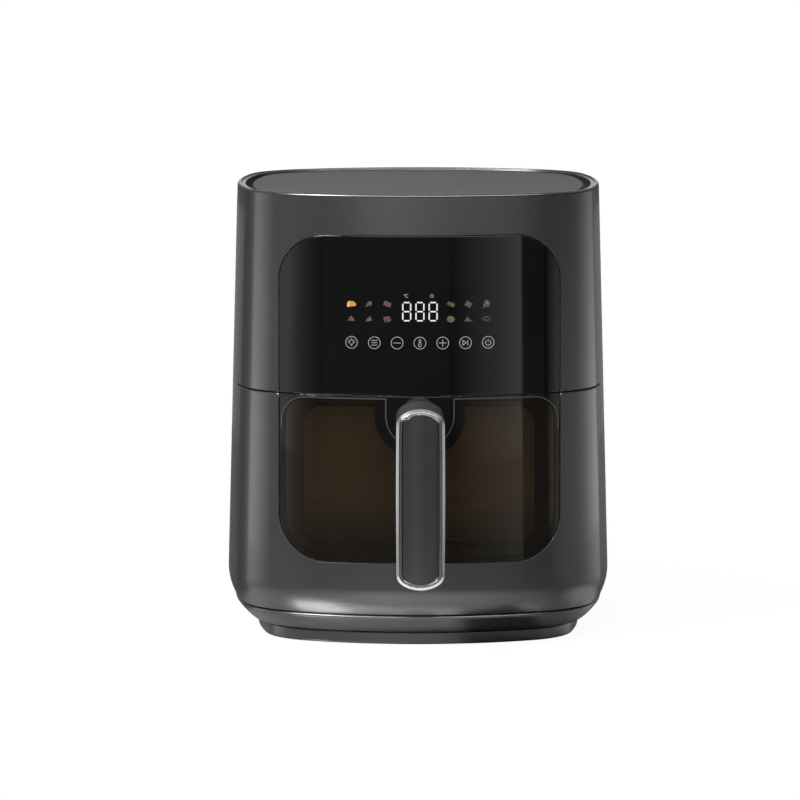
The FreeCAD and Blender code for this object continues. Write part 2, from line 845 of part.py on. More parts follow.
def make_rear_vent():
    """The air outlet: a slotted box that stands off the rear wall, and its spigot through the wall."""
    half, tall = s.vent_width / 2 + s.vent_border, s.vent_height / 2 + s.vent_border
    owner = new_body("vent")
    sketch = new_sketch(owner, "XZ_Plane", lift=-HALF_DEPTH - s.vent_reach)
    rectangle(sketch, (-half, half), (VENT_LEVEL - tall, VENT_LEVEL + tall))
    feature = pad(owner, sketch, s.vent_reach + s.chamber_rear_gap / 2)
    rounded(owner, feature, s.vent_corner, level_through(lambda x, z: True))
    outside = cut("vent_outside", owner, form(0.0))
    spigot = box(
        "spigot",
        (-s.vent_width / 2, s.vent_width / 2),
        (HALF_DEPTH - s.chamber_rear_gap / 2, HALF_DEPTH),
        (VENT_LEVEL - s.vent_height / 2, VENT_LEVEL + s.vent_height / 2),
    )
    inner_half, inner_tall = s.vent_width / 2 - s.vent_wall, s.vent_height / 2 - s.vent_wall
    hollow = box(
        "vent_hollow",
        (-inner_half, inner_half),
        (CHAMBER_REAR, HALF_DEPTH + s.vent_reach - s.vent_wall),
        (VENT_LEVEL - inner_tall, VENT_LEVEL + inner_tall),
    )
    slots = []
    for i in range(VENT_SLOTS):
        level = VENT_LEVEL + (i - (VENT_SLOTS - 1) / 2) * s.vent_pitch
        levels = (level - s.vent_slot / 2, level + s.vent_slot / 2)
        slots.append(box("vent_slot", (-inner_half, inner_half), (HALF_DEPTH, FAR), levels))
    return cut("rear_vent", fuse("vent_block", outside, spigot), hollow, *slots)


def make_exhaust_duct():
    half, tall = s.vent_width / 2 - s.vent_wall, s.vent_height / 2 - s.vent_wall
    reach = (CHAMBER_REAR, HALF_DEPTH - s.chamber_rear_gap / 2 + s.duct_lap)
    outer = box("duct_outer", (-half, half), reach, (VENT_LEVEL - tall, VENT_LEVEL + tall))
    half, tall = half - s.duct_wall, tall - s.duct_wall
    inner = box("duct_inner", (-half, half), reach, (VENT_LEVEL - tall, VENT_LEVEL + tall))
    return cut("duct", outer, inner)


def make_cord_gland():
    """A bush in the rear wall for the supply cord, with a collar outside."""
    inside = HALF_DEPTH - s.chamber_rear_gap / 2
    plug = cylinder("gland_plug", s.gland_radius, (inside, HALF_DEPTH), 0.0, GLAND_LEVEL, "Y")
    reach = (inside, HALF_DEPTH + s.gland_collar_depth)
    collar = cylinder("gland_ring", s.gland_collar, reach, 0.0, GLAND_LEVEL, "Y")
    bore = cylinder("gland_bore", s.gland_bore, (CHAMBER_REAR, FAR), 0.0, GLAND_LEVEL, "Y")
    return cut("gland", fuse("gland_solid", plug, cut("gland_outside", collar, form(0.0))), bore)


# Control panel and its boards


def make_control_panel():
    """The gloss lens in the housing's front, flush with the skin and cut off at the drawer's seam."""
    skin = layer("lens_skin", 0.0, LENS_INSET)
    return common("lens", skin, panel_prism(), slab("lens_slab", HOUSING_EDGE, RIM))


def board_levels():
    low = HOUSING_EDGE + s.board_lift
    return low, low + s.board_height


def make_panel_carrier():
    """A frame behind the lens that bridges its joint with the housing and holds the board on four bosses."""
    skin = layer("carrier_skin", LENS_INSET, LENS_INSET + s.carrier_thickness)
    low, high = board_levels()
    plate = common(
        "carrier_plate", skin, panel_prism(s.carrier_border), slab("carrier_slab", HOOD_BOTTOM, RIM)
    )
    bosses = []
    half = s.board_width / 2 - s.board_boss_inset
    for x in (-half, half):
        for z in (low + s.board_boss_inset, high - s.board_boss_inset):
            bosses.append(cylinder("boss", s.board_boss_radius, (-FAR, BOARD_FRONT), x, z, "Y"))
    opened = cut("carrier_open", plate, display_block(s.display_border, (-FAR, BOARD_FRONT)))
    return fuse("carrier", opened, common("bosses", form(LENS_INSET), fuse("boss_set", *bosses)))


def display_block(grow, depth):
    half, tall = s.display_width / 2 + grow, s.display_height / 2 + grow
    level = HOUSING_EDGE + s.display_lift
    return box("display", (-half, half), depth, (level - tall, level + tall))


def make_display_board():
    low, high = board_levels()
    depth = (BOARD_FRONT, BOARD_FRONT + s.board_thickness)
    return box("board", (-s.board_width / 2, s.board_width / 2), depth, (low, high))


def make_display_module():
    """The light block behind the lens, from the board out through the carrier's opening."""
    return display_block(0.0, (BOARD_FRONT - s.display_depth, BOARD_FRONT))


def make_touch_springs():
    """One contact spring for each touch key, from the board to the back of the carrier."""
    level = HOUSING_EDGE + s.touch_lift
    inside = form(LENS_INSET + s.carrier_thickness)
    springs = []
    for i in range(TOUCH_KEYS):
        x = (i - (TOUCH_KEYS - 1) / 2) * s.touch_pitch
        bar = cylinder("touch", s.touch_radius, (-FAR, BOARD_FRONT), x, level, "Y")
        springs.append(common("touch_spring", bar, inside))
    return compound("touch_springs", *springs)


# Chamber


def plan_block(name, half, front, rear, levels, corner):
    """An upright block with a square front and round rear corners."""
    owner = new_body(name)
    sketch = new_sketch(owner, lift=levels[0])
    rectangle(sketch, (-half, half), (front, rear))
    feature = pad(owner, sketch, as_size(levels[1]) - levels[0])
    edge = as_size(rear).value
    rounded(owner, feature, corner, upright(lambda x, y: abs(y - edge) < 1e-4))
    return owner


def make_chamber_liner():
    """A sheet-metal trough, open in front and on top, with the outlet in its rear wall."""
    outer = plan_block(
        "liner_outer", CHAMBER_HALF, LINER_FRONT, CHAMBER_REAR, (LINER_BOTTOM, HOOD_BOTTOM), s.chamber_corner
    )
    inner = plan_block(
        "liner_inner",
        CHAMBER_HALF - s.liner_thickness,
        LINER_FRONT - s.liner_thickness,
        CHAMBER_REAR - s.liner_thickness,
        (LINER_FLOOR, RIM),
        s.chamber_corner - s.liner_thickness,
    )
    half = s.vent_width / 2 - s.vent_wall - s.duct_wall
    tall = s.vent_height / 2 - s.vent_wall - s.duct_wall
    levels = (VENT_LEVEL - tall, VENT_LEVEL + tall)
    outlet = box("liner_outlet", (-half, half), (FAN_Y, FAR), levels)
    return cut("liner", outer, inner, outlet)


def make_rails():
    rails = []
    for side in (-1, 1):
        x = side * (BASKET_HALF - s.rail_side_inset)
        ends = (LINER_FRONT, BASKET_REAR - s.chamber_corner / 2)
        levels = (LINER_FLOOR, LINER_FLOOR + s.rail_height)
        rails.append(box("rail", (x - s.rail_width / 2, x + s.rail_width / 2), ends, levels))
    return compound("rails", *rails)


def make_front_bezel():
    """The moulding round the chamber's mouth: an upright plate and the shelf under the control panel."""
    plate_space = box("bezel_space", (-FAR, FAR), (BEZEL_Y, LINER_FRONT), (BASE_TOP, HOOD_BOTTOM))
    shelf_space = box("shelf_space", (-FAR, FAR), (-FAR, LINER_FRONT), (SHELF_BOTTOM, HOOD_BOTTOM))
    blank = fuse("bezel_blank", *[common("bezel_wall", form(s.wall), x) for x in (plate_space, shelf_space)])
    mouth = box("mouth", (-MOUTH_HALF, MOUTH_HALF), (BEZEL_Y - s.wall, FAR), (LINER_FLOOR, RIM))
    half = CHAMBER_HALF - s.hood_lap
    notch = box("hood_notch", (-half, half), (HOOD_FRONT + s.hood_lap, FAR), (SHELF_BOTTOM - s.wall, RIM))
    return cut("bezel", blank, mouth, notch)


def make_hood():
    """The chamber's roof plate, with the heater's opening and holes for the lamp and the sensor."""
    owner = plan_block(
        "hood", CHAMBER_HALF, HOOD_FRONT, CHAMBER_REAR, (HOOD_BOTTOM, HOOD_TOP), s.chamber_corner
    )
    sketch = new_sketch(owner, lift=HOOD_TOP)
    circle(sketch, 0.0, FAN_Y, HOOD_HOLE)
    circle(sketch, LAMP_X, LAMP_Y, s.lamp_lens_radius)
    circle(sketch, -LAMP_X, LAMP_Y, s.probe_radius)
    pocket(owner, sketch, s.hood_thickness)
    return owner


def make_lamp_lens():
    flange = (HOOD_TOP, HOOD_TOP + s.lamp_flange)
    plug = cylinder("lens_plug", s.lamp_lens_radius, (HOOD_BOTTOM, flange[1]), LAMP_X, LAMP_Y)
    return fuse("lamp_lens", plug, cylinder("lens_flange", s.lamp_radius, flange, LAMP_X, LAMP_Y))


def make_lamp_housing():
    low = HOOD_TOP + s.lamp_flange
    can = cylinder("lamp_can", s.lamp_radius, (low, low + s.lamp_height), LAMP_X, LAMP_Y)
    inner = (low, low + s.lamp_height - s.lamp_flange)
    hollow = cylinder("lamp_hollow", s.lamp_radius - s.lamp_flange, inner, LAMP_X, LAMP_Y)
    return cut("lamp_housing", can, hollow)


def make_temperature_probe():
    stem = (HOOD_BOTTOM - s.probe_drop, HOOD_BOTTOM - s.probe_drop + s.probe_height)
    collar = (HOOD_TOP, HOOD_TOP + s.lamp_flange)
    bar = cylinder("probe_bar", s.probe_radius, stem, -LAMP_X, LAMP_Y)
    return fuse("probe", bar, cylinder("probe_collar", s.probe_collar, collar, -LAMP_X, LAMP_Y))


# Heater and fans, turned about the fan's axis


def make_reflector():
    """A turned dish over the heater, flanged onto the hood, with holes for the shaft and the legs."""
    owner = new_body("reflector", y=FAN_Y)
    sketch = new_sketch(owner, "XZ_Plane")
    wall = s.reflector_thickness
    mouth, crown = REFLECTOR_RADIUS, REFLECTOR_RADIUS - s.reflector_narrowing
    bore = s.shaft_radius * 2
    polygon(
        sketch,
        [
            (mouth, HOOD_TOP),
            (mouth + s.reflector_flange, HOOD_TOP),
            (mouth + s.reflector_flange, HOOD_TOP + wall),
            (mouth + wall, HOOD_TOP + wall),
            (crown + wall, REFLECTOR_TOP),
            (bore, REFLECTOR_TOP),
            (bore, REFLECTOR_TOP - wall),
            (crown, REFLECTOR_TOP - wall),
        ],
    )
    revolved(owner, sketch)
    sketch = new_sketch(owner, lift=REFLECTOR_TOP)
    for x, y in leg_places():
        circle(sketch, x, y, s.element_radius + s.fit_gap)
    pocket(owner, sketch, wall * 2)
    return owner


def leg_places():
    """Where the element's two legs rise, in plan, about the fan's axis."""
    turn = -90.0 + ELEMENT_GAP / 2
    return [turned(ring, -s.element_leg_bend, turn) for ring in (OUTER_RING, INNER_RING)]


def tube_bend(name, radius, sweep, x, y, z, turn):
    """A bent length of the element's tube, centred at a point and turned into place."""
    obj = doc.addObject("Part::Torus", name)
    bind(obj, "Radius1", radius)
    bind(obj, "Radius2", s.element_radius)
    obj.Angle3 = sweep
    obj.Placement = FreeCAD.Placement(V(), turn)
    return placed(obj, x, FAN_Y + y, z)


def make_element():
    """A hairpin heater: out round a ring, back round a smaller ring, and a leg up at each end."""
    start, stop = -90.0 + ELEMENT_GAP / 2, 270.0 - ELEMENT_GAP / 2
    bend = s.element_leg_bend
    to_start = FreeCAD.Rotation(V(0, 0, 1), start)
    upright_bend = FreeCAD.Rotation(V(0, -1, 0), V(0, 0, -1), V(1, 0, 0), "ZXY")
    lengths = []
    for ring, leg in zip((OUTER_RING, INNER_RING), leg_places()):
        lengths.append(tube_bend("ring", ring, 360.0 - ELEMENT_GAP, 0.0, 0.0, ELEMENT_LEVEL, to_start))
        x, y = turned(ring, 0.0, start)
        lengths.append(tube_bend("bend", bend, 90.0, x, y, ELEMENT_LEVEL + bend, to_start * upright_bend))
        ends = (ELEMENT_LEVEL + bend, ELEMENT_LEVEL + bend + s.element_leg_height)
        lengths.append(cylinder("element_leg", s.element_radius, ends, leg[0], FAN_Y + leg[1]))
    x, y = turned((OUTER_RING + INNER_RING) / 2, 0.0, stop)
    back = FreeCAD.Rotation(V(0, 0, 1), stop)
    lengths.append(tube_bend("turn_back", (OUTER_RING - INNER_RING) / 2, 180.0, x, y, ELEMENT_LEVEL, back))
    return fuse("element", *lengths)


def make_element_clips():
    """Straps from the reflector's crown down to the top of both element rings."""
    clips = []
    levels = (ELEMENT_LEVEL + s.element_radius, REFLECTOR_TOP - s.reflector_thickness)
    for angle in CLIP_ANGLES:
        owner = new_body("clip", y=FAN_Y)
        sketch = new_sketch(owner, lift=levels[0])
        inside, outside, half = INNER_RING - s.element_radius, OUTER_RING, s.clip_width / 2
        corners = ((inside, -half), (outside, -half), (outside, half), (inside, half))
        polygon(sketch, [turned(x, y, angle) for x, y in corners])
        pad(owner, sketch, levels[1] - levels[0])
        clips.append(owner)
    return compound("clips", *clips)


def turned(x, y, angle):
    """A point in plan, turned about the origin by an angle in degrees."""
    along, across = math.cos(math.radians(angle)), math.sin(math.radians(angle))
    return x * along - y * across, x * across + y * along


def make_guard():
    """A stamped guard under the element: rings joined by spokes, its rim lying on the hood."""
    levels = (HOOD_TOP, HOOD_TOP + s.guard_thickness)
    rim = REFLECTOR_RADIUS - s.guard_clearance
    rings = []
    for i in range(GUARD_RINGS + 1):
        radius = rim if i == 0 else HOOD_HOLE - i * s.guard_ring_pitch
        width = s.guard_lap + s.guard_ring if i == 0 else s.guard_ring
        disc = cylinder("guard_disc", radius, levels, 0.0, FAN_Y)
        rings.append(cut("guard_ring", disc, cylinder("guard_hole", radius - width, levels, 0.0, FAN_Y)))
    spokes = []
    for i in range(GUARD_SPOKES):
        owner = new_body("spoke", y=FAN_Y)
        sketch = new_sketch(owner, lift=HOOD_TOP)
        reach, half = HOOD_HOLE, s.guard_ring / 2
        corners = ((-reach, -half), (reach, -half), (reach, half), (-reach, half))
        polygon(sketch, [turned(x, y, i * 180.0 / GUARD_SPOKES) for x, y in corners])
        pad(owner, sketch, s.guard_thickness)
        spokes.append(owner)
    return fuse("guard", *rings, *spokes)


def make_hot_fan():
    """A radial fan: a hub and back plate with straight blades under it, leaning back from the radius."""
    owner = new_body("hot_fan", y=FAN_Y)
    sketch = new_sketch(owner, "XZ_Plane")
    bore, hub = s.shaft_radius, s.hub_radius
    polygon(
        sketch,
        [
            (bore, FAN_BOTTOM),
            (hub, FAN_BOTTOM),
            (hub, FAN_TOP - s.fan_plate),
            (FAN_RADIUS, FAN_TOP - s.fan_plate),
            (FAN_RADIUS, FAN_TOP),
            (bore, FAN_TOP),
        ],
    )
    revolved(owner, sketch)
    doc.recompute()
    sketch = new_sketch(owner, lift=FAN_BOTTOM)
    half = s.blade_thickness / 2
    inner, outer, lean = hub * 2, FAN_RADIUS - s.blade_thickness, hub
    root, tip = (inner, lean), (outer, -lean)
    corners = ((root, -1), (tip, -1), (tip, 1), (root, 1))
    polygon(sketch, [(end[0], end[1] + side * half) for end, side in corners])
    blade = pad(owner, sketch, s.fan_height - s.fan_plate)
    doc.recompute()
    pattern = owner.newObject("PartDesign::PolarPattern", "hot_blades")
    pattern.Originals = [blade]
    pattern.Axis = (sketch, ["N_Axis"])
    pattern.Angle = 360
    pattern.Occurrences = HOT_BLADES
    owner.Tip = pattern
    return owner


def make_cooling_fan():
    """An axial fan: a hub and pitched blades, trimmed to the fan's circle."""
    levels = (COOLING_BOTTOM, COOLING_BOTTOM + s.cooling_fan_height)
    hub = cylinder("cooling_hub", s.hub_radius * 2, levels, 0.0, FAN_Y)
    rim = cylinder("cooling_rim", s.cooling_fan_radius, levels, 0.0, FAN_Y)
    blades = []
    for i in range(COOLING_BLADES):
        blade = doc.addObject("Part::Box", "cooling_blade")
        bind(blade, "Length", s.cooling_fan_radius)
        bind(blade, "Width", s.cooling_blade_chord)
        bind(blade, "Height", s.blade_thickness)
        spin = FreeCAD.Rotation(V(0, 0, 1), i * 360.0 / COOLING_BLADES)
        turn = spin * FreeCAD.Rotation(V(1, 0, 0), COOLING_PITCH)
        blade.Placement = FreeCAD.Placement(V(), turn)
        chord = turn.multVec(V(0, 1, 0))
        x, y, z = [-s.cooling_blade_chord / 2 * step for step in chord]
        placed(blade, x, FAN_Y + y, COOLING_BOTTOM + s.cooling_fan_height / 2 + z)
        blades.append(common("trimmed_blade", blade, rim))
    bore = cylinder("cooling_bore", s.shaft_radius, levels, 0.0, FAN_Y)
    return cut("cooling_fan", fuse("cooling_blades", hub, *blades), bore)


def make_shaft():
    ends = (FAN_BOTTOM - s.shaft_radius, MOTOR_TOP + s.motor_cap + s.shaft_top)
    return cylinder("shaft", s.shaft_radius, ends, 0.0, FAN_Y)


# Motor


def make_motor_bracket():
    """A bridge over the reflector on four legs that stand on the hood."""
    half_x, half_y = BRACKET_HALF_X + s.bracket_leg / 2, s.bracket_half_y + s.bracket_leg / 2
    plate = box("bridge", (-half_x, half_x), (FAN_Y - half_y, FAN_Y + half_y), (BRACKET_BOTTOM, BRACKET_TOP))
    legs = []
    for sx, sy in FEET_SIGNS:
        x, y, half = sx * BRACKET_HALF_X, FAN_Y + sy * s.bracket_half_y, s.bracket_leg / 2
        legs.append(box("leg", (x - half, x + half), (y - half, y + half), (HOOD_TOP, BRACKET_BOTTOM)))
    hole = cylinder("bridge_hole", s.bearing_boss, (HOOD_TOP, RIM), 0.0, FAN_Y)
    return cut("bracket", fuse("bridge_legs", plate, *legs), hole)


def turned_piece(name, points):
    """A piece turned about the motor's axis from an outline of radii and levels."""
    owner = new_body(name, y=FAN_Y)
    sketch = new_sketch(owner, "XZ_Plane")
    polygon(sketch, points)
    revolved(owner, sketch)
    return owner


def make_motor_can():
    wall, seat = s.motor_wall, s.bearing_radius
    return turned_piece(
        "motor_can",
        [
            (seat, BRACKET_TOP),
            (s.motor_radius, BRACKET_TOP),
            (s.motor_radius, MOTOR_TOP),
            (s.motor_radius - wall, MOTOR_TOP),
            (s.motor_radius - wall, BRACKET_TOP + wall),
            (s.bearing_boss, BRACKET_TOP + wall),
            (s.bearing_boss, BRACKET_TOP + s.bearing_height),
            (seat, BRACKET_TOP + s.bearing_height),
        ],
    )


def make_motor_cap():
    top = MOTOR_TOP + s.motor_cap
    return turned_piece(
        "motor_cap",
        [
            (s.bearing_radius, top - s.bearing_height),
            (s.bearing_boss, top - s.bearing_height),
            (s.bearing_boss, MOTOR_TOP),
            (s.motor_radius, MOTOR_TOP),
            (s.motor_radius, top),
            (s.bearing_radius, top),
        ],
    )


def tube(name, inner, outer, levels):
    bar = cylinder(name, outer, levels, 0.0, FAN_Y)
    return cut(name, bar, cylinder(name + "_bore", inner, levels, 0.0, FAN_Y))


def make_bearings():
    bore = s.shaft_radius + s.bearing_gap
    top = MOTOR_TOP + s.motor_cap
    lower = tube("bush", bore, s.bearing_radius, (BRACKET_TOP, BRACKET_TOP + s.bearing_height))
    upper = tube("bush", bore, s.bearing_radius, (top - s.bearing_height, top))
    return compound("bushes", lower, upper)


def stator_levels():
    middle = (BRACKET_TOP + MOTOR_TOP) / 2
    return middle - s.stator_height / 2, middle + s.stator_height / 2


def make_stator():
    return tube("stator", s.stator_bore, s.motor_radius - s.motor_wall, stator_levels())


def make_rotor():
    return tube("rotor", s.shaft_radius, s.stator_bore - s.air_gap, stator_levels())


# Power board on the motor bracket


def power_board_edges():
    front = FAN_Y + s.motor_radius + s.power_board_gap
    return front, front + s.power_board_depth


def make_standoffs():
    front, rear = power_board_edges()
    posts = []
    levels = (BRACKET_TOP, BRACKET_TOP + s.standoff_height)
    half = s.power_board_width / 2 - s.standoff_radius * 2
    for x in (-half, half):
        for y in (front + s.standoff_radius * 2, FAN_Y + s.bracket_half_y - s.standoff_radius):
            posts.append(cylinder("standoff", s.standoff_radius, levels, x, y))
    return compound("standoffs", *posts)


def make_power_board():
    low = BRACKET_TOP + s.standoff_height
    half = s.power_board_width / 2
    return box("power", (-half, half), power_board_edges(), (low, low + s.board_thickness))


def make_power_parts():
    """The relay and the smoothing capacitor on the power board."""
    low = BRACKET_TOP + s.standoff_height + s.board_thickness
    front, rear = power_board_edges()
    middle = (front + rear) / 2
    half = s.relay_width / 2
    relay = box(
        "relay", (-s.relay_width - half, -half), (middle - half, middle + half), (low, low + s.relay_height)
    )
    ends = (low, low + s.capacitor_height)
    capacitor = cylinder("capacitor", s.capacitor_radius, ends, s.relay_width, middle)
    return compound("power_parts", relay, capacitor)


# Drawer front


def window_prism(grow=0.0):
    high = FASCIA_TOP + s.panel_corner
    return front_prism("window_block", PANEL_HALF, WINDOW_BOTTOM, high, s.panel_corner, False, grow)


def mount_prism(grow=0.0):
    low, high = FASCIA_TOP - s.mount_height, FASCIA_TOP + s.panel_corner
    return front_prism("mount_block", s.mount_width / 2, low, high, s.mount_corner, False, grow)


def fascia_space():
    return box("fascia_space", (-FAR, FAR), (-FAR, FASCIA_REAR), (FASCIA_BOTTOM, FASCIA_TOP))


def make_fascia():
    """The drawer's outer shell, split from the form between the two seams, notched for the window."""
    blank = common("fascia_blank", layer("fascia_skin", 0.0, s.wall), fascia_space())
    return cut("fascia", blank, window_prism(s.fit_gap))


def make_window_glass():
    """The curved outer glass, flush with the fascia, notched at the top for the handle's mount."""
    skin = layer("glass_skin", 0.0, s.glass_thickness)
    return cut("glass", common("glass_blank", skin, window_prism(), fascia_space()), mount_prism(s.fit_gap))


def make_handle_mount():
    """The shield that fills the notch in the glass and carries the handle's neck."""
    skin = layer("mount_skin", 0.0, s.glass_thickness)
    return cut("mount", common("mount_blank", skin, mount_prism(), fascia_space()), *make_handle_screws())


def make_handle_screws():
    """Two screws from the drawer's inside, through the mount, into the neck."""
    level = HANDLE_TOP - s.neck_height / 2
    tip = -HALF_DEPTH - s.handle_screw_bite
    seat = -HALF_DEPTH + s.glass_thickness * 2 + s.wall * 2
    screws = []
    for side in (-1, 1):
        x = side * s.handle_screw_pitch / 2
        shank = cylinder("shank", s.handle_screw_radius, (tip, seat), x, level, "Y")
        screws.append(shank)
    return screws


def make_window_frame():
    """The frame behind the glass: a flange on the fascia, a tunnel, a rear plate and the handle's boss."""
    flange_skin = layer("flange_skin", s.glass_thickness, s.glass_thickness + s.frame_plate)
    below_cap = box("below_cap", (-FAR, FAR), (-FAR, PANE_FRONT), (FASCIA_BOTTOM, CAP_BOTTOM))
    inset = s.frame_inset
    outer = front_prism(
        "tunnel_outer", PANEL_HALF - inset, WINDOW_BOTTOM + inset, RIM, s.panel_corner - inset, False
    )
    inset = inset + s.frame_wall
    ceiling = CAP_BOTTOM - s.frame_wall
    inner = front_prism(
        "tunnel_inner", PANEL_HALF - inset, WINDOW_BOTTOM + inset, ceiling, s.panel_corner - inset, False
    )
    flange_blank = common("flange_blank", flange_skin, window_prism(s.frame_flange), below_cap)
    flange = cut("flange", flange_blank, inner)
    body = common("tunnel_blank", form(s.glass_thickness), outer, below_cap)
    rear_space = box("rear_space", (-FAR, FAR), (FRAME_REAR_FRONT, PANE_FRONT), (FASCIA_BOTTOM, CAP_BOTTOM))
    rear = common("rear_plate", outer, rear_space)
    aperture = aperture_prism()
    boss_skin = layer("boss_skin", s.glass_thickness, s.glass_thickness + s.boss_depth)
    boss = common("boss", boss_skin, boss_prism(), below_cap)
    walls = fuse("frame_walls", cut("tunnel", body, inner), cut("rear_open", rear, aperture), boss, flange)
    return cut("frame", walls, *make_handle_screws())


def aperture_prism():
    owner = new_body("aperture")
    sketch = new_sketch(owner, "XZ_Plane")
    half, top = s.aperture_width / 2, FASCIA_TOP - s.aperture_drop
    rectangle(sketch, (-half, half), (top - s.aperture_height, top))
    feature = pad(owner, sketch, FAR)
    rounded(owner, feature, s.aperture_corner, level_through(lambda x, z: True))
    return owner


def boss_prism():
    """The block behind the mount that takes the handle's screws."""
    low = FASCIA_TOP - s.boss_height
    return front_prism("boss_block", s.boss_width / 2, low, RIM, s.boss_corner, False)


def make_drawer_cap():
    """The plate that closes the drawer front's top, round the basket's opening."""
    space = box("cap_space", (-FAR, FAR), (-FAR, FASCIA_REAR), (CAP_BOTTOM, FASCIA_TOP))
    blank = common("cap_blank", form(s.glass_thickness), space)
    half = BASKET_HALF + s.basket_lip + s.slide_gap
    notch = box("cap_notch", (-half, half), (BASKET_FRONT, FAR), (0.0, RIM))
    return cut("cap", blank, notch)


def make_drawer_inner_shell():
    """The moulding that closes the drawer front behind and below, with room for the basket to pass."""
    back = (FASCIA_REAR - s.back_thickness, FASCIA_REAR), (FASCIA_BOTTOM, CAP_BOTTOM)
    below = (-FAR, FASCIA_REAR), (FASCIA_BOTTOM, FASCIA_BOTTOM + s.back_thickness)
    spaces = [box("wall_space", (-FAR, FAR), depth, levels) for depth, levels in (back, below)]
    walls = [common("inner_wall", form(s.wall), space) for space in spaces]
    half = BASKET_HALF + s.basket_lip + s.slide_gap
    low = BASKET_BOTTOM - s.slide_gap
    passage = box("passage", (-half, half), (BASKET_FRONT, FAR), (low, RIM))
    return cut("inner_shell", fuse("inner_walls", *walls), passage)


def make_magnet():
    x = (MOUTH_HALF + CHAMBER_HALF) / 2
    half = s.magnet_size / 2
    depth = (FASCIA_REAR - s.back_thickness - s.magnet_thickness, FASCIA_REAR - s.back_thickness)
    return box("magnet", (x, x + s.magnet_size), depth, (MAGNET_LEVEL - half, MAGNET_LEVEL + half))


def make_reed_switch():
    x = CHAMBER_HALF
    half = s.reed_size / 2
    depth = (LINER_FRONT, LINER_FRONT + s.reed_thickness)
    return box("reed", (x, x + s.reed_size), depth, (MAGNET_LEVEL - half, MAGNET_LEVEL + half))


# Handle


def handle_outline(name, inset, depth):
    """A bar through the handle's outline, taken in by an inset, between two y values."""
    owner = new_body(name)
    sketch = new_sketch(owner, "XZ_Plane", lift=-as_size(depth[1]), up=HANDLE_MIDDLE)
    oval(
        sketch,
        s.handle_width / 2 - inset,
        s.handle_length / 2 - inset,
        s.handle_side_bow - inset,
        s.handle_end_bow - inset,
        s.handle_corner - inset,
    )
    pad(owner, sketch, as_size(depth[1]) - depth[0])
    return owner


def make_handle_core():
    """The grip and its neck: the handle's outline drawn back to the drawer, less the finger space."""
    inside = -HALF_DEPTH + s.boss_depth
    back = CORE_FRONT + s.handle_thickness
    under = HANDLE_TOP - s.neck_height
    bottom = HANDLE_TOP - s.handle_length
    owner = handle_outline("handle_block", 0.0, (CORE_FRONT, inside))
    sketch = new_sketch(owner, "YZ_Plane", lift=-s.handle_width)
    rectangle(sketch, (back, inside + s.wall), (bottom - s.wall, under))
    feature = pocket(owner, sketch, s.handle_width * 2, reverse=True)
    corner_y, corner_z = back.value, under.value

    def inner_corner(edge):
        bounds = edge.BoundBox
        thin = bounds.YLength < 1e-3 and bounds.ZLength < 1e-3
        return thin and abs(bounds.YMin - corner_y) < 1e-3 and abs(bounds.ZMin - corner_z) < 1e-3

    def rear_edge(edge):
        bounds = edge.BoundBox
        behind = bounds.YMin > corner_y - 1e-3 and bounds.YMin < inside.value - 1e-3
        below = bounds.ZMax < corner_z + 1e-3
        crosses = bounds.ZLength < 1e-3 and bounds.XLength > s.handle_width.value / 2
        return behind and below and not (crosses and bounds.ZMin > HANDLE_MIDDLE.value)

    feature = rounded(owner, feature, s.neck_fillet, inner_corner)
    rounded(owner, feature, s.grip_round, rear_edge)
    return cut("core", owner, form(0.0), *make_handle_screws())


def make_handle_trim():
    """The bright ring round the front of the grip."""
    front = HANDLE_FRONT + s.trim_setback
    outer = handle_outline("trim_outer", 0.0, (front, CORE_FRONT))
    inner = handle_outline("trim_inner", s.trim_width, (front - s.wall, CORE_FRONT))
    return cut("trim", outer, inner)


def make_handle_insert():
    """The crowned cover inside the trim ring."""
    blank = handle_outline("insert_blank", s.trim_width + s.fit_gap, (HANDLE_FRONT, CORE_FRONT))
    ends = (0.0, RIM)
    crown = cylinder("insert_crown", s.insert_crown, ends, 0.0, HANDLE_FRONT + s.insert_crown)
    return common("insert", blank, crown)


# Basket, inner window and crisper plate


def basket_block(name, inset, levels):
    """The basket's plan as an upright block: tight front corners, wide rear ones."""
    owner = new_body(name)
    sketch = new_sketch(owner, lift=levels[0])
    half = BASKET_HALF - inset
    front, rear = BASKET_FRONT + inset, BASKET_REAR - inset
    rectangle(sketch, (-half, half), (front, rear))
    feature = pad(owner, sketch, as_size(levels[1]) - levels[0])
    edge = front.value
    feature = rounded(
        owner, feature, s.basket_front_corner - inset, upright(lambda x, y: abs(y - edge) < 1e-4)
    )
    edge = rear.value
    feature = rounded(
        owner, feature, s.basket_rear_corner - inset, upright(lambda x, y: abs(y - edge) < 1e-4)
    )
    return owner, feature


def make_basket():
    """The coated pan: round-floored, lipped at the top, with the window's opening in its front wall."""
    outer, feature = basket_block("basket_outer", as_size(0.0), (BASKET_BOTTOM, BASKET_TOP))
    rounded(outer, feature, s.basket_floor_round, at_level(BASKET_BOTTOM.value))
    inner, feature = basket_block("basket_inner", s.basket_wall, (BASKET_FLOOR, RIM))
    rounded(inner, feature, s.basket_floor_round - s.basket_wall, at_level(BASKET_FLOOR.value))
    lip_levels = (BASKET_TOP - s.basket_lip_height, BASKET_TOP)
    lip_block, feature = basket_block("basket_lip", -s.basket_lip, lip_levels)
    behind = box("behind_front", (-FAR, FAR), (FASCIA_REAR - s.back_thickness, FAR), (0.0, RIM))
    lip = common("lip", lip_block, behind)
    owner = new_body("basket_window")
    sketch = new_sketch(owner, "XZ_Plane")
    half = s.basket_window_width / 2
    rectangle(sketch, (-half, half), (SILL, HEAD))
    feature = pad(owner, sketch, FAR)
    rounded(owner, feature, s.basket_window_corner, level_through(lambda x, z: True))
    return cut("basket", fuse("basket_solid", outer, lip), inner, owner)


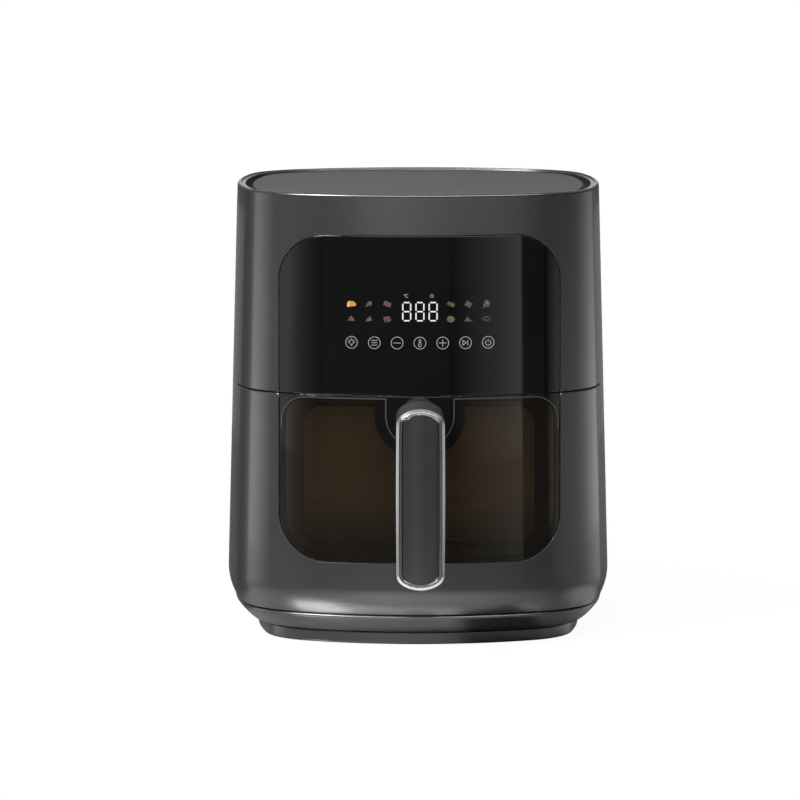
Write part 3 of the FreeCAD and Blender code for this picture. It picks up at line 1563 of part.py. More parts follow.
def pane_block(name, grow, depth):
    half = s.basket_window_width / 2 + grow
    return box(name, (-half, half), depth, (SILL - grow, HEAD + grow))


def pane_grow():
    return s.basket_window_head - s.seal_lap


def make_inner_glass():
    return pane_block("pane", pane_grow(), (PANE_FRONT, SEAL_FRONT))


def make_glass_seal():
    outer = pane_block("seal_outer", pane_grow(), (SEAL_FRONT, BASKET_FRONT))
    inner = pane_block("seal_inner", s.seal_lap, (SEAL_FRONT, BASKET_FRONT))
    return cut("seal", outer, inner)


def make_crisper_plate():
    """A pierced plate that stands in the basket on four bumpers."""
    owner = new_body("crisper")
    low = BASKET_FLOOR + s.plate_rise
    sketch = new_sketch(owner, lift=low)
    inset = s.basket_wall + s.plate_gap
    half, front, rear = BASKET_HALF - inset, BASKET_FRONT + inset, BASKET_REAR - inset
    rectangle(sketch, (-half, half), (front, rear))
    feature = pad(owner, sketch, s.plate_thickness)
    edge = front.value
    feature = rounded(owner, feature, s.plate_corner, upright(lambda x, y: abs(y - edge) < 1e-4))
    edge = rear.value
    corner = s.basket_rear_corner - inset
    rounded(owner, feature, corner, upright(lambda x, y: abs(y - edge) < 1e-4))
    sketch = new_sketch(owner, lift=low + s.plate_thickness)
    circle(sketch, 0.0, FAN_Y, s.plate_grip_radius)
    reach = (PLATE_HOLES - 1) / 2
    for i in range(PLATE_HOLES):
        for j in range(PLATE_HOLES):
            column, row = i - reach, j - reach
            if abs(column) + abs(row) > 1 and abs(column) + abs(row) < 2 * reach:
                x, y = column * s.plate_hole_pitch, FAN_Y + row * s.plate_hole_pitch
                circle(sketch, x, y, s.plate_hole_radius)
    pocket(owner, sketch, s.plate_thickness)
    return owner


def make_bumpers():
    low = BASKET_FLOOR
    inset = s.basket_wall + s.plate_gap + s.bumper_inset
    x = BASKET_HALF - inset
    bumpers = []
    for side in (-1, 1):
        for y in (BASKET_FRONT + inset, BASKET_REAR - inset - s.bumper_inset):
            bumpers.append(cylinder("bumper", s.bumper_radius, (low, low + s.plate_rise), side * x, y))
    return compound("bumpers", *bumpers)


# The sub-parts

base_screws = make_base_screws()
part("base_pan", cut("base_pan", make_base(), *base_screws))
part("plinth", cut("plinth_bored", make_plinth(), *base_screws))
part("base_screws", compound("base_screw_set", *make_base_screws()))
part("rubber_feet", make_feet())
part("outer_housing", make_housing())
part("top_inlet_ring", make_top_ring())
part("top_cover", make_top_cover())
part("rear_vent", make_rear_vent())
part("exhaust_duct", make_exhaust_duct())
part("cord_gland", make_cord_gland())
part("control_panel", make_control_panel())
part("panel_carrier", make_panel_carrier())
part("display_board", make_display_board())
part("display_module", make_display_module())
part("touch_springs", make_touch_springs())
part("chamber_liner", make_chamber_liner())
part("drawer_rails", make_rails())
part("front_bezel", make_front_bezel())
part("chamber_hood", make_hood())
part("lamp_lens", make_lamp_lens())
part("lamp_housing", make_lamp_housing())
part("temperature_probe", make_temperature_probe())
part("heat_reflector", make_reflector())
part("heating_element", make_element())
part("element_clips", make_element_clips())
part("element_guard", make_guard())
part("hot_air_fan", make_hot_fan())
part("cooling_fan", make_cooling_fan())
part("motor_shaft", make_shaft())
part("motor_bracket", make_motor_bracket())
part("motor_can", make_motor_can())
part("motor_cap", make_motor_cap())
part("motor_bearings", make_bearings())
part("motor_stator", make_stator())
part("motor_rotor", make_rotor())
part("board_standoffs", make_standoffs())
part("power_board", make_power_board())
part("power_board_parts", make_power_parts())
part("reed_switch", make_reed_switch())
part("drawer_fascia", make_fascia())
part("window_glass", make_window_glass())
part("window_frame", make_window_frame())
part("handle_mount", make_handle_mount())
part("handle_core", make_handle_core())
part("handle_trim", make_handle_trim())
part("handle_insert", make_handle_insert())
part("handle_screws", compound("handle_screw_set", *make_handle_screws()))
part("drawer_top_cap", make_drawer_cap())
part("drawer_inner_shell", make_drawer_inner_shell())
part("drawer_magnet", make_magnet())
part("basket", make_basket())
part("inner_glass", make_inner_glass())
part("glass_seal", make_glass_seal())
part("crisper_plate", make_crisper_plate())
part("plate_bumpers", make_bumpers())

doc.recompute()

# Checks, then one file for each sub-part

for obj in doc.Objects:
    if "Invalid" in obj.State or "Error" in obj.State:
        raise RuntimeError(f"{obj.Name} ({obj.Label}) failed: {obj.State}")
for label, obj in parts.items():
    if obj.Shape.isNull() or not obj.Shape.isValid() or not obj.Shape.Solids:
        raise RuntimeError(f"{label} has no valid solid")

os.makedirs("parts", exist_ok=True)
for label, obj in parts.items():
    obj.Shape.exportStep(f"parts/{label}.step")
    size = obj.Shape.BoundBox
    spans = [round(x, 1) for x in (size.XLength, size.YLength, size.ZLength)]
    print(label, len(obj.Shape.Solids), "solids", spans, "volume", round(obj.Shape.Volume / 1000, 1), "cm3")
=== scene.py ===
# %% [markdown]
# # An air fryer with a window drawer
# The real thing is a moulded body in satin metallic grey, a gloss black touch panel, and a drawer with a
# tinted window and a bright-ringed bar handle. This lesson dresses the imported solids: the skins that the
# eye follows are built again from the body's own rule, with rolled edges that catch the light, and every
# inner solid keeps its shape and gets a finish. The object's sizes are in millimetres until a piece is
# made, and the studio's are in metres.

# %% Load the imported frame
import math

import bmesh
import bpy
import numpy as np
from mathutils import Matrix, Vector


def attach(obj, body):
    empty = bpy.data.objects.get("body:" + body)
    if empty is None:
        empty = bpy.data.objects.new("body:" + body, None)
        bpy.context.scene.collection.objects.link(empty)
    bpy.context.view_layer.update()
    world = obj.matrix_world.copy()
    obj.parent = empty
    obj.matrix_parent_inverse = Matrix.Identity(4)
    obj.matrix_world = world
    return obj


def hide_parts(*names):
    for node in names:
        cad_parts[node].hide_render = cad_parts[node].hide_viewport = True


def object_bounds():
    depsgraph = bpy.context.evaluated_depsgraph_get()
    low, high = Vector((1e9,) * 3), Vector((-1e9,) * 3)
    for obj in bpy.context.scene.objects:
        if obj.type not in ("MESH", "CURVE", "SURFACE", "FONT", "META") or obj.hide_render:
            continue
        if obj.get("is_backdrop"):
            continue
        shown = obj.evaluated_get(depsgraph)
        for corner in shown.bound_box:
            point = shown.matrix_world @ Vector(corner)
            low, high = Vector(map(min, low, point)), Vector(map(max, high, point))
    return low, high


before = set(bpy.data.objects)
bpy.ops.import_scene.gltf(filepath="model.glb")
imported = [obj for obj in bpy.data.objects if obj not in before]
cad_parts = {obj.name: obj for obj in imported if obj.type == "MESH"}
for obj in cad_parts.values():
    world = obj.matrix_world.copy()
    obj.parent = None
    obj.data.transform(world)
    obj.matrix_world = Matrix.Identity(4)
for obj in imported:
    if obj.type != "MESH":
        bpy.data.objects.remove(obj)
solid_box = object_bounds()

scene = bpy.context.scene
scene.view_settings.view_transform = "Standard"

# %% [markdown]
# ## Shader sums
# A finish is a small graph. Written with plain operators it reads like the sum it is, so one class wraps
# a socket: arithmetic on it adds Math nodes, its node method makes any other node, and a few short
# methods name the nodes that come again and again.

# %% A socket that takes part in Python expressions


class Wire:
    """A shader socket: operators on it add Math nodes to its tree."""

    def __init__(self, tree, socket=None):
        self.tree = tree
        self.socket = socket

    def node(self, kind, settings=None, inputs=None, out=0):
        """Any shader node: its type, its settings, and a value or a wire for each input."""
        made = self.tree.nodes.new("ShaderNode" + kind)
        for key, value in (settings or {}).items():
            setattr(made, key, value)
        for key, value in (inputs or {}).items():
            if isinstance(value, Wire):
                self.tree.links.new(value.socket, made.inputs[key])
            else:
                made.inputs[key].default_value = value
        return Wire(self.tree, made.outputs[out] if made.outputs else None)

    def math(self, operation, other=0.0, turned=False):
        pair = (other, self) if turned else (self, other)
        return self.node("Math", {"operation": operation}, dict(enumerate(pair)))

    def __add__(self, other):
        return self.math("ADD", other)

    def __sub__(self, other):
        return self.math("SUBTRACT", other)

    def __rsub__(self, other):
        return self.math("SUBTRACT", other, turned=True)

    def __mul__(self, other):
        return self.math("MULTIPLY", other)

    __radd__ = __add__
    __rmul__ = __mul__

    def noise(self, scale, detail):
        """Cloudy noise at this place."""
        return self.node("TexNoise", inputs={"Vector": self, "Scale": scale, "Detail": detail}, out="Fac")

    def axis(self, letter):
        """One number out of this place or direction."""
        return self.node("SeparateXYZ", inputs={0: self}, out=letter)

    def eased(self, low, high, least=0.0):
        """The least below one value, one above another, and smooth between."""
        limits = {"Value": self, "From Min": low, "From Max": high, "To Min": least}
        return self.node("MapRange", {"interpolation_type": "SMOOTHSTEP"}, limits, out="Result")

    def colours(self, first, second):
        """A colour between two, by this share."""
        return self.node("Mix", {"data_type": "RGBA"}, {0: self, 6: first, 7: second}, out=2)

    def shaders(self, first, second):
        """A shader between two, by this share."""
        return self.node("MixShader", inputs={0: self, 1: first, 2: second})

    def shown(self):
        """Makes this shader the surface of its material."""
        self.node("OutputMaterial", inputs={"Surface": self})


def new_finish(name):
    """An empty material and a wire to start its graph from."""
    finish = bpy.data.materials.new(name)
    finish.use_nodes = True
    finish.node_tree.nodes.clear()
    return finish, Wire(finish.node_tree)


def tone(shade):
    """A colour for a socket, from one grey level or from red, green and blue."""
    return (*np.broadcast_to(shade, 3).tolist(), 1.0)


print("white is", tone(1.0))

# %% [markdown]
# ## Finishes
# Moulded and painted parts are never one even colour: the tone drifts over a few centimetres, and a fine
# spark-eroded grain breaks up the gloss. A picture of the surface would need a file and would show its
# seams, so one recipe gives both from two noises on Object coordinates. Brushed metal uses the same
# recipe on coordinates that are stretched along the brushing.

# %% A recipe for moulded, painted and brushed surfaces

DRIFT_SHARE, GLOSS_SPREAD, GRAIN_DEPTH = 0.55, 0.1, 0.0002


def moulded(name, dark, light, rough, metallic=0.0, grain=2600.0, bump=0.05, stretch=None, **fixed):
    """A finish whose tone drifts between two colours, with fine grain in its gloss and its relief."""
    finish, start = new_finish(name)
    spot = start.node("TexCoord", out="Object")
    if stretch:
        spot = start.node("Mapping", inputs={"Vector": spot, "Scale": stretch})
    drift = spot.noise(scale=16.0, detail=3.0)
    fine = spot.noise(scale=grain, detail=2.0)
    share = drift * DRIFT_SHARE + fine * (1 - DRIFT_SHARE)
    inputs = {
        "Base Color": share.colours(tone(dark), tone(light)),
        "Roughness": rough + (fine - 0.5) * GLOSS_SPREAD,
        "Metallic": metallic,
        "Normal": fine.node("Bump", inputs={"Height": fine, "Strength": bump, "Distance": GRAIN_DEPTH}),
        **fixed,
    }
    start.node("BsdfPrincipled", inputs=inputs).shown()
    return finish


BRUSHED = {"metallic": 1.0, "stretch": (60.0, 60.0, 1.0)}
CLEAR_COAT = {"Coat Weight": 0.4, "Coat Roughness": 0.1}
# Each recipe has a name, a dark and a light tone, a roughness, and what departs from plain moulding.
recipes = {
    "shell": ("metallic_grey_paint", 0.072, 0.095, 0.29, dict(metallic=0.85, bump=0.25, **CLEAR_COAT)),
    "black_moulding": ("fine_black_moulding", 0.011, (0.022, 0.021, 0.02), 0.5, dict(bump=0.12)),
    "handle_cover": ("satin_handle_cover", 0.145, 0.16, 0.29, dict(metallic=1.0, bump=0.01)),
    "gloss_black": ("gloss_black_lens", 0.002, 0.003, 0.06, dict(grain=40.0, bump=0.0, IOR=1.9)),
    "bright_trim": ("bright_satin_metal", 0.68, (0.8, 0.8, 0.79), 0.2, dict(metallic=1.0, bump=0.02)),
    "rubber": ("soft_black_rubber", 0.014, 0.028, 0.72, dict(grain=1500.0, bump=0.2)),
    "silicone": ("grey_silicone", 0.035, 0.06, 0.55, dict(grain=1200.0, bump=0.08)),
    "coated_pan": (
        "nonstick_coating", (0.02, 0.019, 0.018), (0.05, 0.047, 0.043), 0.42,
        dict(metallic=0.25, grain=1100.0, bump=0.12),
    ),
    "liner_steel": (
        "rolled_liner_steel", (0.34, 0.33, 0.32), (0.5, 0.49, 0.47), 0.36,
        dict(grain=18.0, bump=0.04, **BRUSHED),
    ),
    "wire_steel": ("drawn_steel", 0.42, 0.58, 0.3, dict(grain=30.0, bump=0.03, **BRUSHED)),
    "element_sheath": (
        "heated_sheath", (0.09, 0.07, 0.06), (0.2, 0.17, 0.15), 0.5,
        dict(metallic=0.7, grain=900.0, bump=0.15),
    ),
    "fan_sheet": ("stamped_fan_sheet", 0.45, 0.62, 0.35, dict(grain=22.0, bump=0.04, **BRUSHED)),
    "bronze": (
        "sintered_bronze", (0.28, 0.17, 0.07), (0.42, 0.27, 0.13), 0.45,
        dict(metallic=1.0, grain=2200.0, bump=0.15),
    ),
    "slide_plastic": ("slide_plastic", 0.08, 0.12, 0.5, dict(bump=0.1)),
    "board": ("board_laminate", (0.02, 0.09, 0.035), (0.04, 0.15, 0.065), 0.4, dict(grain=900.0, bump=0.1)),
    "components": ("component_case", (0.03, 0.03, 0.04), (0.05, 0.05, 0.065), 0.5, dict(bump=0.1)),
    "contact_spring": (
        "plated_spring", (0.5, 0.48, 0.4), (0.66, 0.64, 0.55), 0.3,
        dict(metallic=1.0, bump=0.03),
    ),
}
finishes = {slot: moulded(*plain, **extra) for slot, (*plain, extra) in recipes.items()}
print(len(finishes), "finishes:", ", ".join(f.name for f in finishes.values()))

# %% [markdown]
# ## Lit print and glass
# The display's marks glow behind a dark lens, and the drawer has bronze glass with a coated pane behind
# it. Refracting glass would be dark and noisy in panes as thin as these, so a pane is a clear shader and
# a thin film, with a Fresnel gloss over both. The inner pane's film thins towards its foot, which paints
# shade into the lower window.

# %% Recipes for lit print and for glass


def glowing(name, colour, dim, strength, mottle=420.0, contrast=1.0):
    """Lit print behind the lens: its glow is uneven, more so in a picture than in a symbol."""
    finish, start = new_finish(name)
    uneven = start.node("TexCoord", out="Object").noise(scale=mottle, detail=1.0)
    share = (uneven - 0.5) * contrast + 0.5
    inputs = {
        "Base Color": tone(0.01),
        "Roughness": 0.25 + uneven * 0.1,
        "Emission Color": share.colours(tone(colour), tone(dim)),
        "Emission Strength": strength,
    }
    start.node("BsdfPrincipled", inputs=inputs).shown()
    return finish


FILM_UNDER_PAINTED_SHADE, SMEAR_FILM, SMEAR_GLOSS = 0.15, 0.04, 0.02


def glazed(name, tint, film, opacity, rough, ior, painted_shade_span=(-1.0, 0.0)):
    """See-through glass: a tint, a thin film that thins towards its foot as painted shade, and a gloss over
    both.
    """
    finish, start = new_finish(name)
    spot = start.node("TexCoord", out="Object")
    smear = spot.noise(scale=26.0, detail=4.0)
    clear = start.node("BsdfTransparent", inputs={"Color": tone(tint)})
    coat = start.node("BsdfPrincipled", inputs={"Base Color": tone(film), "Roughness": 0.6, "IOR": 1.0})
    # The film thins from its top level down to its foot: painted shade, darker towards the bottom.
    cover = spot.axis("Z").eased(*painted_shade_span, least=FILM_UNDER_PAINTED_SHADE)
    body = (cover * (opacity + smear * SMEAR_FILM)).shaders(clear, coat)
    gloss = start.node("BsdfPrincipled", inputs={"Roughness": rough + smear * SMEAR_GLOSS, "Metallic": 1.0})
    mirror = start.node("Fresnel", inputs={"IOR": ior})
    mirror.shaders(body, gloss).shown()
    return finish


panes = {
    "tinted_glass": ("bronze_tinted_glass", (0.86, 0.78, 0.66), (0.02, 0.016, 0.012), 0.15, 0.02, 1.75),
    # The coated pane's film thins below 112 mm and is least below 70 mm: painted shade low in the window.
    "clear_glass": ("heat_coated_pane", (0.9, 0.87, 0.82), (0.5, 0.44, 0.35), 0.5, 0.08, 1.5, (0.07, 0.112)),
}
finishes |= {slot: glazed(*recipe) for slot, recipe in panes.items()}
print("glass:", ", ".join(finishes[slot].name for slot in panes))

# %% [markdown]
# ## The body's rule
# In plan the body is an oval of eight tangent arcs. Going up it draws in by one and a half degrees, and
# at the foot it sweeps in round an arc. A point of the skin is therefore two numbers: the run round the
# oval from the middle of the front, and the level. Offsetting an arc keeps its centre, so any inset of
# the oval is exact. The handle's outline is an oval of the same kind, so one class serves both.

# %% Ovals of tangent arcs


class Oval:
    """Eight tangent arcs about the origin, measured as a run from the middle of the -y end."""

    def __init__(self, half_x, half_y, side_bow, end_bow, corner):
        end_y, side_x = end_bow - half_y, half_x - side_bow
        apart = math.hypot(side_x, end_y)
        reach_side, reach_end = side_bow - corner, end_bow - corner
        along = (reach_side**2 - reach_end**2 + apart**2) / (2 * apart)
        off = math.sqrt(reach_side**2 - along**2)
        ux, uy = -side_x / apart, end_y / apart
        spots = [(side_x + ux * along - k * uy * off, uy * along + k * ux * off) for k in (-1, 1)]
        self.corner_x, self.corner_y = min(spots, key=lambda spot: spot[1])
        self.end_y, self.side_x = end_y, side_x
        self.bows = end_bow, corner, side_bow
        self.end_turn = math.atan2(self.corner_x, end_y - self.corner_y)
        self.side_turn = math.atan2(self.corner_x - side_x, -self.corner_y)
        quarter = [0.0, self.end_turn, self.side_turn]
        self.turns = np.array(quarter + [math.pi - t for t in reversed(quarter)])
        bows = np.array([end_bow, corner, side_bow, corner, end_bow])
        self.runs = np.concatenate([[0.0], np.cumsum(np.diff(self.turns) * bows)])
        self.half = self.runs[-1]

    def at(self, run, inset=0.0):
        """Place, outward direction and direction of travel at a run, taken in by an inset."""
        run = (np.asarray(run, float) + self.half) % (2 * self.half) - self.half
        side = np.where(run < 0, -1.0, 1.0)
        turn = np.interp(np.abs(run), self.runs, self.turns)
        fold = np.minimum(turn, math.pi - turn)
        back = np.where(turn > math.pi / 2, -1.0, 1.0)
        zones = [fold <= self.end_turn, fold < self.side_turn]
        radius = np.select(zones, self.bows[:2], self.bows[2]) - inset
        x = np.select(zones, [0.0, self.corner_x], self.side_x) + radius * np.sin(fold)
        y = np.select(zones, [self.end_y, self.corner_y], 0.0) - radius * np.cos(fold)
        out = np.stack([side * np.sin(turn), -np.cos(turn)], -1)
        travel = np.stack([np.cos(turn), side * np.sin(turn)], -1)
        return np.stack([side * x, back * y], -1), out, travel

    def run_at_x(self, x, inset):
        """Run to a place in the -y end or corner given by its x."""
        on_end = np.abs(x) / (self.bows[0] - inset)
        on_corner = np.clip((np.abs(x) - self.corner_x) / (self.bows[1] - inset), -1.0, 1.0)
        turn = np.arcsin(np.where(on_end < math.sin(self.end_turn), on_end, on_corner))
        return np.sign(x) * np.interp(turn, self.turns, self.runs)

    def run_at_y(self, y, inset):
        """Run to a place in the +x side or front corner given by its y."""
        turn = np.arccos(-y / (self.bows[2] - inset))
        on_corner = np.arccos(np.clip((self.corner_y - y) / (self.bows[1] - inset), -1.0, 1.0))
        return np.interp(np.where(turn < self.side_turn, on_corner, turn), self.turns, self.runs)


plan = Oval(half_x=141.5, half_y=150.0, side_bow=400.0, end_bow=220.0, corner=75.0)
print("half round the body is", round(plan.half, 1), "mm")
print("its corners start at", round(math.degrees(plan.end_turn), 1), "degrees")

# %% The skin: draw-in with height, and a point with its frame

TAPER = math.tan(math.radians(1.5))
FORM_FLOOR, FOOT_SWEEP = 5.0, 38.0
SWEEP_LEVEL = FORM_FLOOR + FOOT_SWEEP
SWEEP_MIDDLE = FOOT_SWEEP * (TAPER + math.hypot(1.0, TAPER))
SWEEP_TOP = SWEEP_LEVEL + FOOT_SWEEP * math.sin(math.atan(TAPER))
BASE_TOP, FASCIA_BOTTOM, FASCIA_TOP, HOUSING_EDGE, RIM = 23.6, 24.2, 182.1, 182.9, 326.5


def draw_in(z):
    """How far the skin has drawn in from the oval at a level."""
    low = np.minimum(z, SWEEP_TOP) - SWEEP_LEVEL
    foot = SWEEP_MIDDLE - np.sqrt(FOOT_SWEEP**2 - low**2)
    return np.where(z > SWEEP_TOP, (z - FORM_FLOOR) * TAPER, foot)


def skin(spots, depth=0.0):
    """Points of the skin at (run, level) spots, with the normal and the two directions along it."""
    run, z = spots[:, 0], spots[:, 1]
    place, out, travel = plan.at(run, draw_in(z) + depth)
    low = np.minimum(z, SWEEP_TOP) - SWEEP_LEVEL
    lean = np.where(z > SWEEP_TOP, TAPER, low / np.sqrt(FOOT_SWEEP**2 - low**2))
    normal = np.column_stack([out, lean]) / np.hypot(1.0, lean)[:, None]
    along = np.column_stack([travel, np.zeros_like(z)])
    return np.column_stack([place, z]), normal, along, np.cross(normal, along)


def on_skin(places):
    """Turns (x, level) places seen from the front into (run, level) spots."""
    places = np.asarray(places, float)
    return np.column_stack([plan.run_at_x(places[:, 0], draw_in(places[:, 1])), places[:, 1]])


for level in (BASE_TOP, SWEEP_TOP, FASCIA_TOP, RIM):
    print("at", round(level, 1), "mm the skin has drawn in", round(float(draw_in(level)), 2), "mm")

# %% [markdown]
# ## Plates with rolled edges
# A skin panel is a moulding a few millimetres thick whose edges are slightly rounded. Bevel modifiers on
# a curved, notched sheet tend to pinch, so the patch is laid out as quads, its border is pulled in, and
# three narrow loops roll it over before the wall goes down. The normals come from the rule itself, so
# reflections stay clean however coarse the quads are.

# %% From a patch of quads to a closed plate

ROLL = np.radians((30.0, 60.0, 90.0))


def plate(surface, spots, quads, thick, roll, lift=0.0):
    """A closed plate on a surface: returns points, faces, normals and how many faces are smooth."""
    spots = np.array(spots, float)
    edges = {(q[i], q[(i + 1) % len(q)]) for q in quads for i in range(len(q))}
    after = {a: b for a, b in sorted(edges) if (b, a) not in edges}
    before = {b: a for a, b in after.items()}
    rim = np.array(list(after))
    place = {int(a): k for k, a in enumerate(rim)}
    pairs = [(k, place[after[int(a)]]) for k, a in enumerate(rim)]

    def outward(start, stop):
        step = spots[stop] - spots[start]
        step[:, 0] = (step[:, 0] + plan.half) % (2 * plan.half) - plan.half
        step /= np.linalg.norm(step, axis=1)[:, None]
        return np.column_stack([step[:, 1], -step[:, 0]])

    ahead = outward(rim, [after[int(a)] for a in rim])
    behind = outward([before[int(a)] for a in rim], rim)
    mitre = (ahead + behind) / (1.0 + np.sum(ahead * behind, axis=1))[:, None]
    size = np.array([roll(*spots[a]) for a in rim]) if callable(roll) else np.full(len(rim), roll)
    edge = spots[rim]
    spots[rim] = edge - mitre * size[:, None]

    top, up, _, _ = surface(spots, -lift)
    points, normals = [top], [up]
    straight = mitre / np.linalg.norm(mitre, axis=1)[:, None]
    for turn in ROLL if np.any(size > 0) else ():
        at = spots[rim] + mitre * (size * math.sin(turn))[:, None]
        depth = size * (1 - math.cos(turn)) - lift
        loop, facing, along, rise = surface(at, depth)
        sideways = along * straight[:, :1] + rise * straight[:, 1:]
        points.append(loop)
        normals.append(facing * math.cos(turn) + sideways * math.sin(turn))
    loops = len(points)
    foot = surface(edge, thick - lift)[0]
    under = surface(spots, thick - lift)[0]
    points += [foot, under]
    normals += [np.zeros_like(foot), np.zeros_like(under)]

    starts = np.concatenate([[0], np.cumsum([len(p) for p in points])])
    rolled = [starts[k] + np.arange(len(rim)) for k in range(1, loops + 1)]
    rings = [rim, *rolled, starts[loops + 1] + rim]
    faces = [tuple(q) for q in quads]
    for upper, lower in zip(rings[:-1], rings[1:]):
        faces += [(upper[b], upper[a], lower[a], lower[b]) for a, b in pairs]
    smooth = len(faces) - len(pairs)
    faces += [tuple(starts[loops + 1] + i for i in reversed(q)) for q in quads]
    return np.concatenate(points), faces, np.concatenate(normals), smooth


def band(inner, outer, steps):
    """Spots and quads between two paths of equally many spots, the outer one to the right of travel."""
    count = len(inner)
    rows = [inner * (1 - t) + outer * t for t in np.linspace(0.0, 1.0, steps + 1)]
    cells = [(j * count + i, (j + 1) * count + i) for j in range(steps) for i in range(count - 1)]
    return np.concatenate(rows), [(a, b, b + 1, a + 1) for a, b in cells]


def rows_between(levels, halves, columns):
    """Spots and quads of level rows, each from -half to +half in x."""
    across = np.linspace(-1.0, 1.0, columns + 1)
    spots = [(half * x, z) for z, half in zip(levels, halves) for x in across]
    width = columns + 1
    cells = [j * width + i for j in range(len(levels) - 1) for i in range(columns)]
    return np.array(spots), [(a, a + 1, a + width + 1, a + width) for a in cells]


def stepped(stops, steps):
    """Numbers from stop to stop, each stretch in its own count of steps."""
    parts = [np.linspace(a, b, n + 1)[:-1] for a, b, n in zip(stops, stops[1:], steps)]
    return np.concatenate([*parts, stops[-1:]])


print("an edge is rolled over in", len(ROLL), "steps")

# %% Making a piece

MM = 0.001
CENTRE_Y = 21.5


def settle(obj, body, stands_for=None):
    """Lets a finished piece ride on its body and stand for its solid."""
    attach(obj, body)
    if stands_for:
        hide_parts(stands_for)
    print(f"{obj.name}: {len(obj.data.polygons)} faces on {body}, for {stands_for or 'no solid'}")
    return obj


def new_object(name, data):
    """An object in the scene, at the origin."""
    obj = bpy.data.objects.new(name, data)
    scene.collection.objects.link(obj)
    return obj


def new_mesh(name, points, faces=(), edges=()):
    """A mesh from points in metres."""
    mesh = bpy.data.meshes.new(name)
    mesh.from_pydata(points, edges, faces)
    return mesh


def make(name, made, finish, body, stands_for=None):
    """A piece from points, faces, normals and a count of smooth faces; its finish is a slot or a material."""
    points, faces, normals, smooth = made
    slot = finish if isinstance(finish, str) else None
    places = (points + (0.0, CENTRE_Y, 0.0)) * MM
    mesh = new_mesh(name, places.tolist(), [[int(i) for i in f] for f in faces])
    mesh.polygons.foreach_set("use_smooth", [i < smooth for i in range(len(faces))])
    mesh.normals_split_custom_set_from_vertices(normals.tolist())
    mesh.materials.append(finishes[slot] if slot else finish)
    return settle(new_object(name, mesh), body, stands_for)


def joined(parts):
    """Several plates as one."""
    points, faces, normals = [], [], []
    base = 0
    for spots, cells, facing, smooth in parts:
        points.append(spots)
        normals.append(facing)
        faces += [(k < smooth, tuple(i + base for i in cell)) for k, cell in enumerate(cells)]
        base += len(spots)
    faces.sort(key=lambda f: not f[0])
    return np.concatenate(points), [f for _, f in faces], np.concatenate(normals), sum(f[0] for f in faces)


print("the body's axis stands", CENTRE_Y, "mm behind the middle of the box")

# %% [markdown]
# ## The drawer front
# The fascia is the lower half of the body's front: a U of skin under and beside the window. Cut from a
# box it would need booleans; laid out as a band between the window's U and the outer edges, its quads
# flow round the corners the way a moulded part's reflections do.

# %% U-shaped paths for the window, the panel and their surrounds

LEG, BEND, BASE = 26, 20, 44


def u_path(half, opening, closed, corner, grow=0.0):
    """A U seen from the front, from one leg's open end to the other's, as spots; it may be grown."""
    up = math.copysign(1.0, closed - opening)
    half, closed, corner = half + grow, closed + up * grow, corner + grow
    level = closed - up * corner
    leg = [(half, z) for z in np.linspace(opening, level, LEG + 1)]
    turns = np.linspace(0.0, math.pi / 2, BEND + 1)[1:]
    bend = [(half - corner * (1 - math.cos(t)), level + up * corner * math.sin(t)) for t in turns]
    base = [(x, closed) for x in np.linspace(half - corner, corner - half, BASE + 1)[1:-1]]
    first = leg + bend
    return on_skin([(up * x, z) for x, z in first + base] + [(-up * x, z) for x, z in reversed(first)])


def split_path(split, opening, closed, level, base_half):
    """The surround's outer path: along the split line between front and sides, then along an edge."""
    up = math.copysign(1.0, closed - opening)
    upright = stepped([opening, level, closed], (LEG, BEND // 2))
    first = [(float(plan.run_at_y(split, draw_in(z))), z) for z in upright]
    near = float(on_skin([(base_half, closed)])[0, 0])
    first += [(run, closed) for run in np.linspace(first[-1][0], near, BEND // 2 + 1)[1:]]
    base = on_skin([(x, closed) for x in np.linspace(base_half, -base_half, BASE + 1)[1:-1]])
    whole = first + [tuple(spot) for spot in base] + [(-run, z) for run, z in reversed(first)]
    return np.array([(up * run, z) for run, z in whole])


print("a U-shaped path has", 2 * (LEG + BEND) + BASE + 1, "spots")

# %% The fascia

PANEL_HALF, PANEL_CORNER, WINDOW_BOTTOM = 100.7, 33.0, 62.6
PANEL_FLAT = PANEL_HALF - PANEL_CORNER
WINDOW_SHOULDER = WINDOW_BOTTOM + PANEL_CORNER
PANEL_GAP, SKIN_WALL = 0.75, 2.6
SPLIT_FASCIA, FASCIA_STEPS = -61.4, 28
SEAM_ROLL, TOP_ROLL, WINDOW_ROLL = 0.4, 1.2, 0.15
WINDOW_REACH, EDGE_ABOVE, NEARLY = 1.2 * PANEL_HALF, 1.0, 0.01
window_edge = u_path(PANEL_HALF, FASCIA_TOP, WINDOW_BOTTOM, PANEL_CORNER, grow=PANEL_GAP)
fascia_edge = split_path(SPLIT_FASCIA, FASCIA_TOP, FASCIA_BOTTOM, WINDOW_SHOULDER, PANEL_FLAT)


def fascia_roll(run, z):
    """How far the fascia's edge is rolled over: most at its top, least round the window."""
    if z > FASCIA_TOP - NEARLY:
        return TOP_ROLL
    by_window = abs(run) < WINDOW_REACH and z > FASCIA_BOTTOM + EDGE_ABOVE
    return WINDOW_ROLL if by_window else SEAM_ROLL


fascia = plate(skin, *band(window_edge, fascia_edge, FASCIA_STEPS), SKIN_WALL, fascia_roll)
make("drawer_front_skin", fascia, "shell", "drawer", "drawer_fascia")

# %% [markdown]
# ## The housing
# Above the drawer the housing's front is the same U turned over, round the touch panel; its sides and
# back are a plain grid of runs and levels. The two share their vertices along the split line, so the
# whole wrap is one sheet. Openings for the rear outlet and the cord are quads that are left out: the
# frame and collar that fill them cover the cut.

# %% The housing's front, and the grid for its sides and back

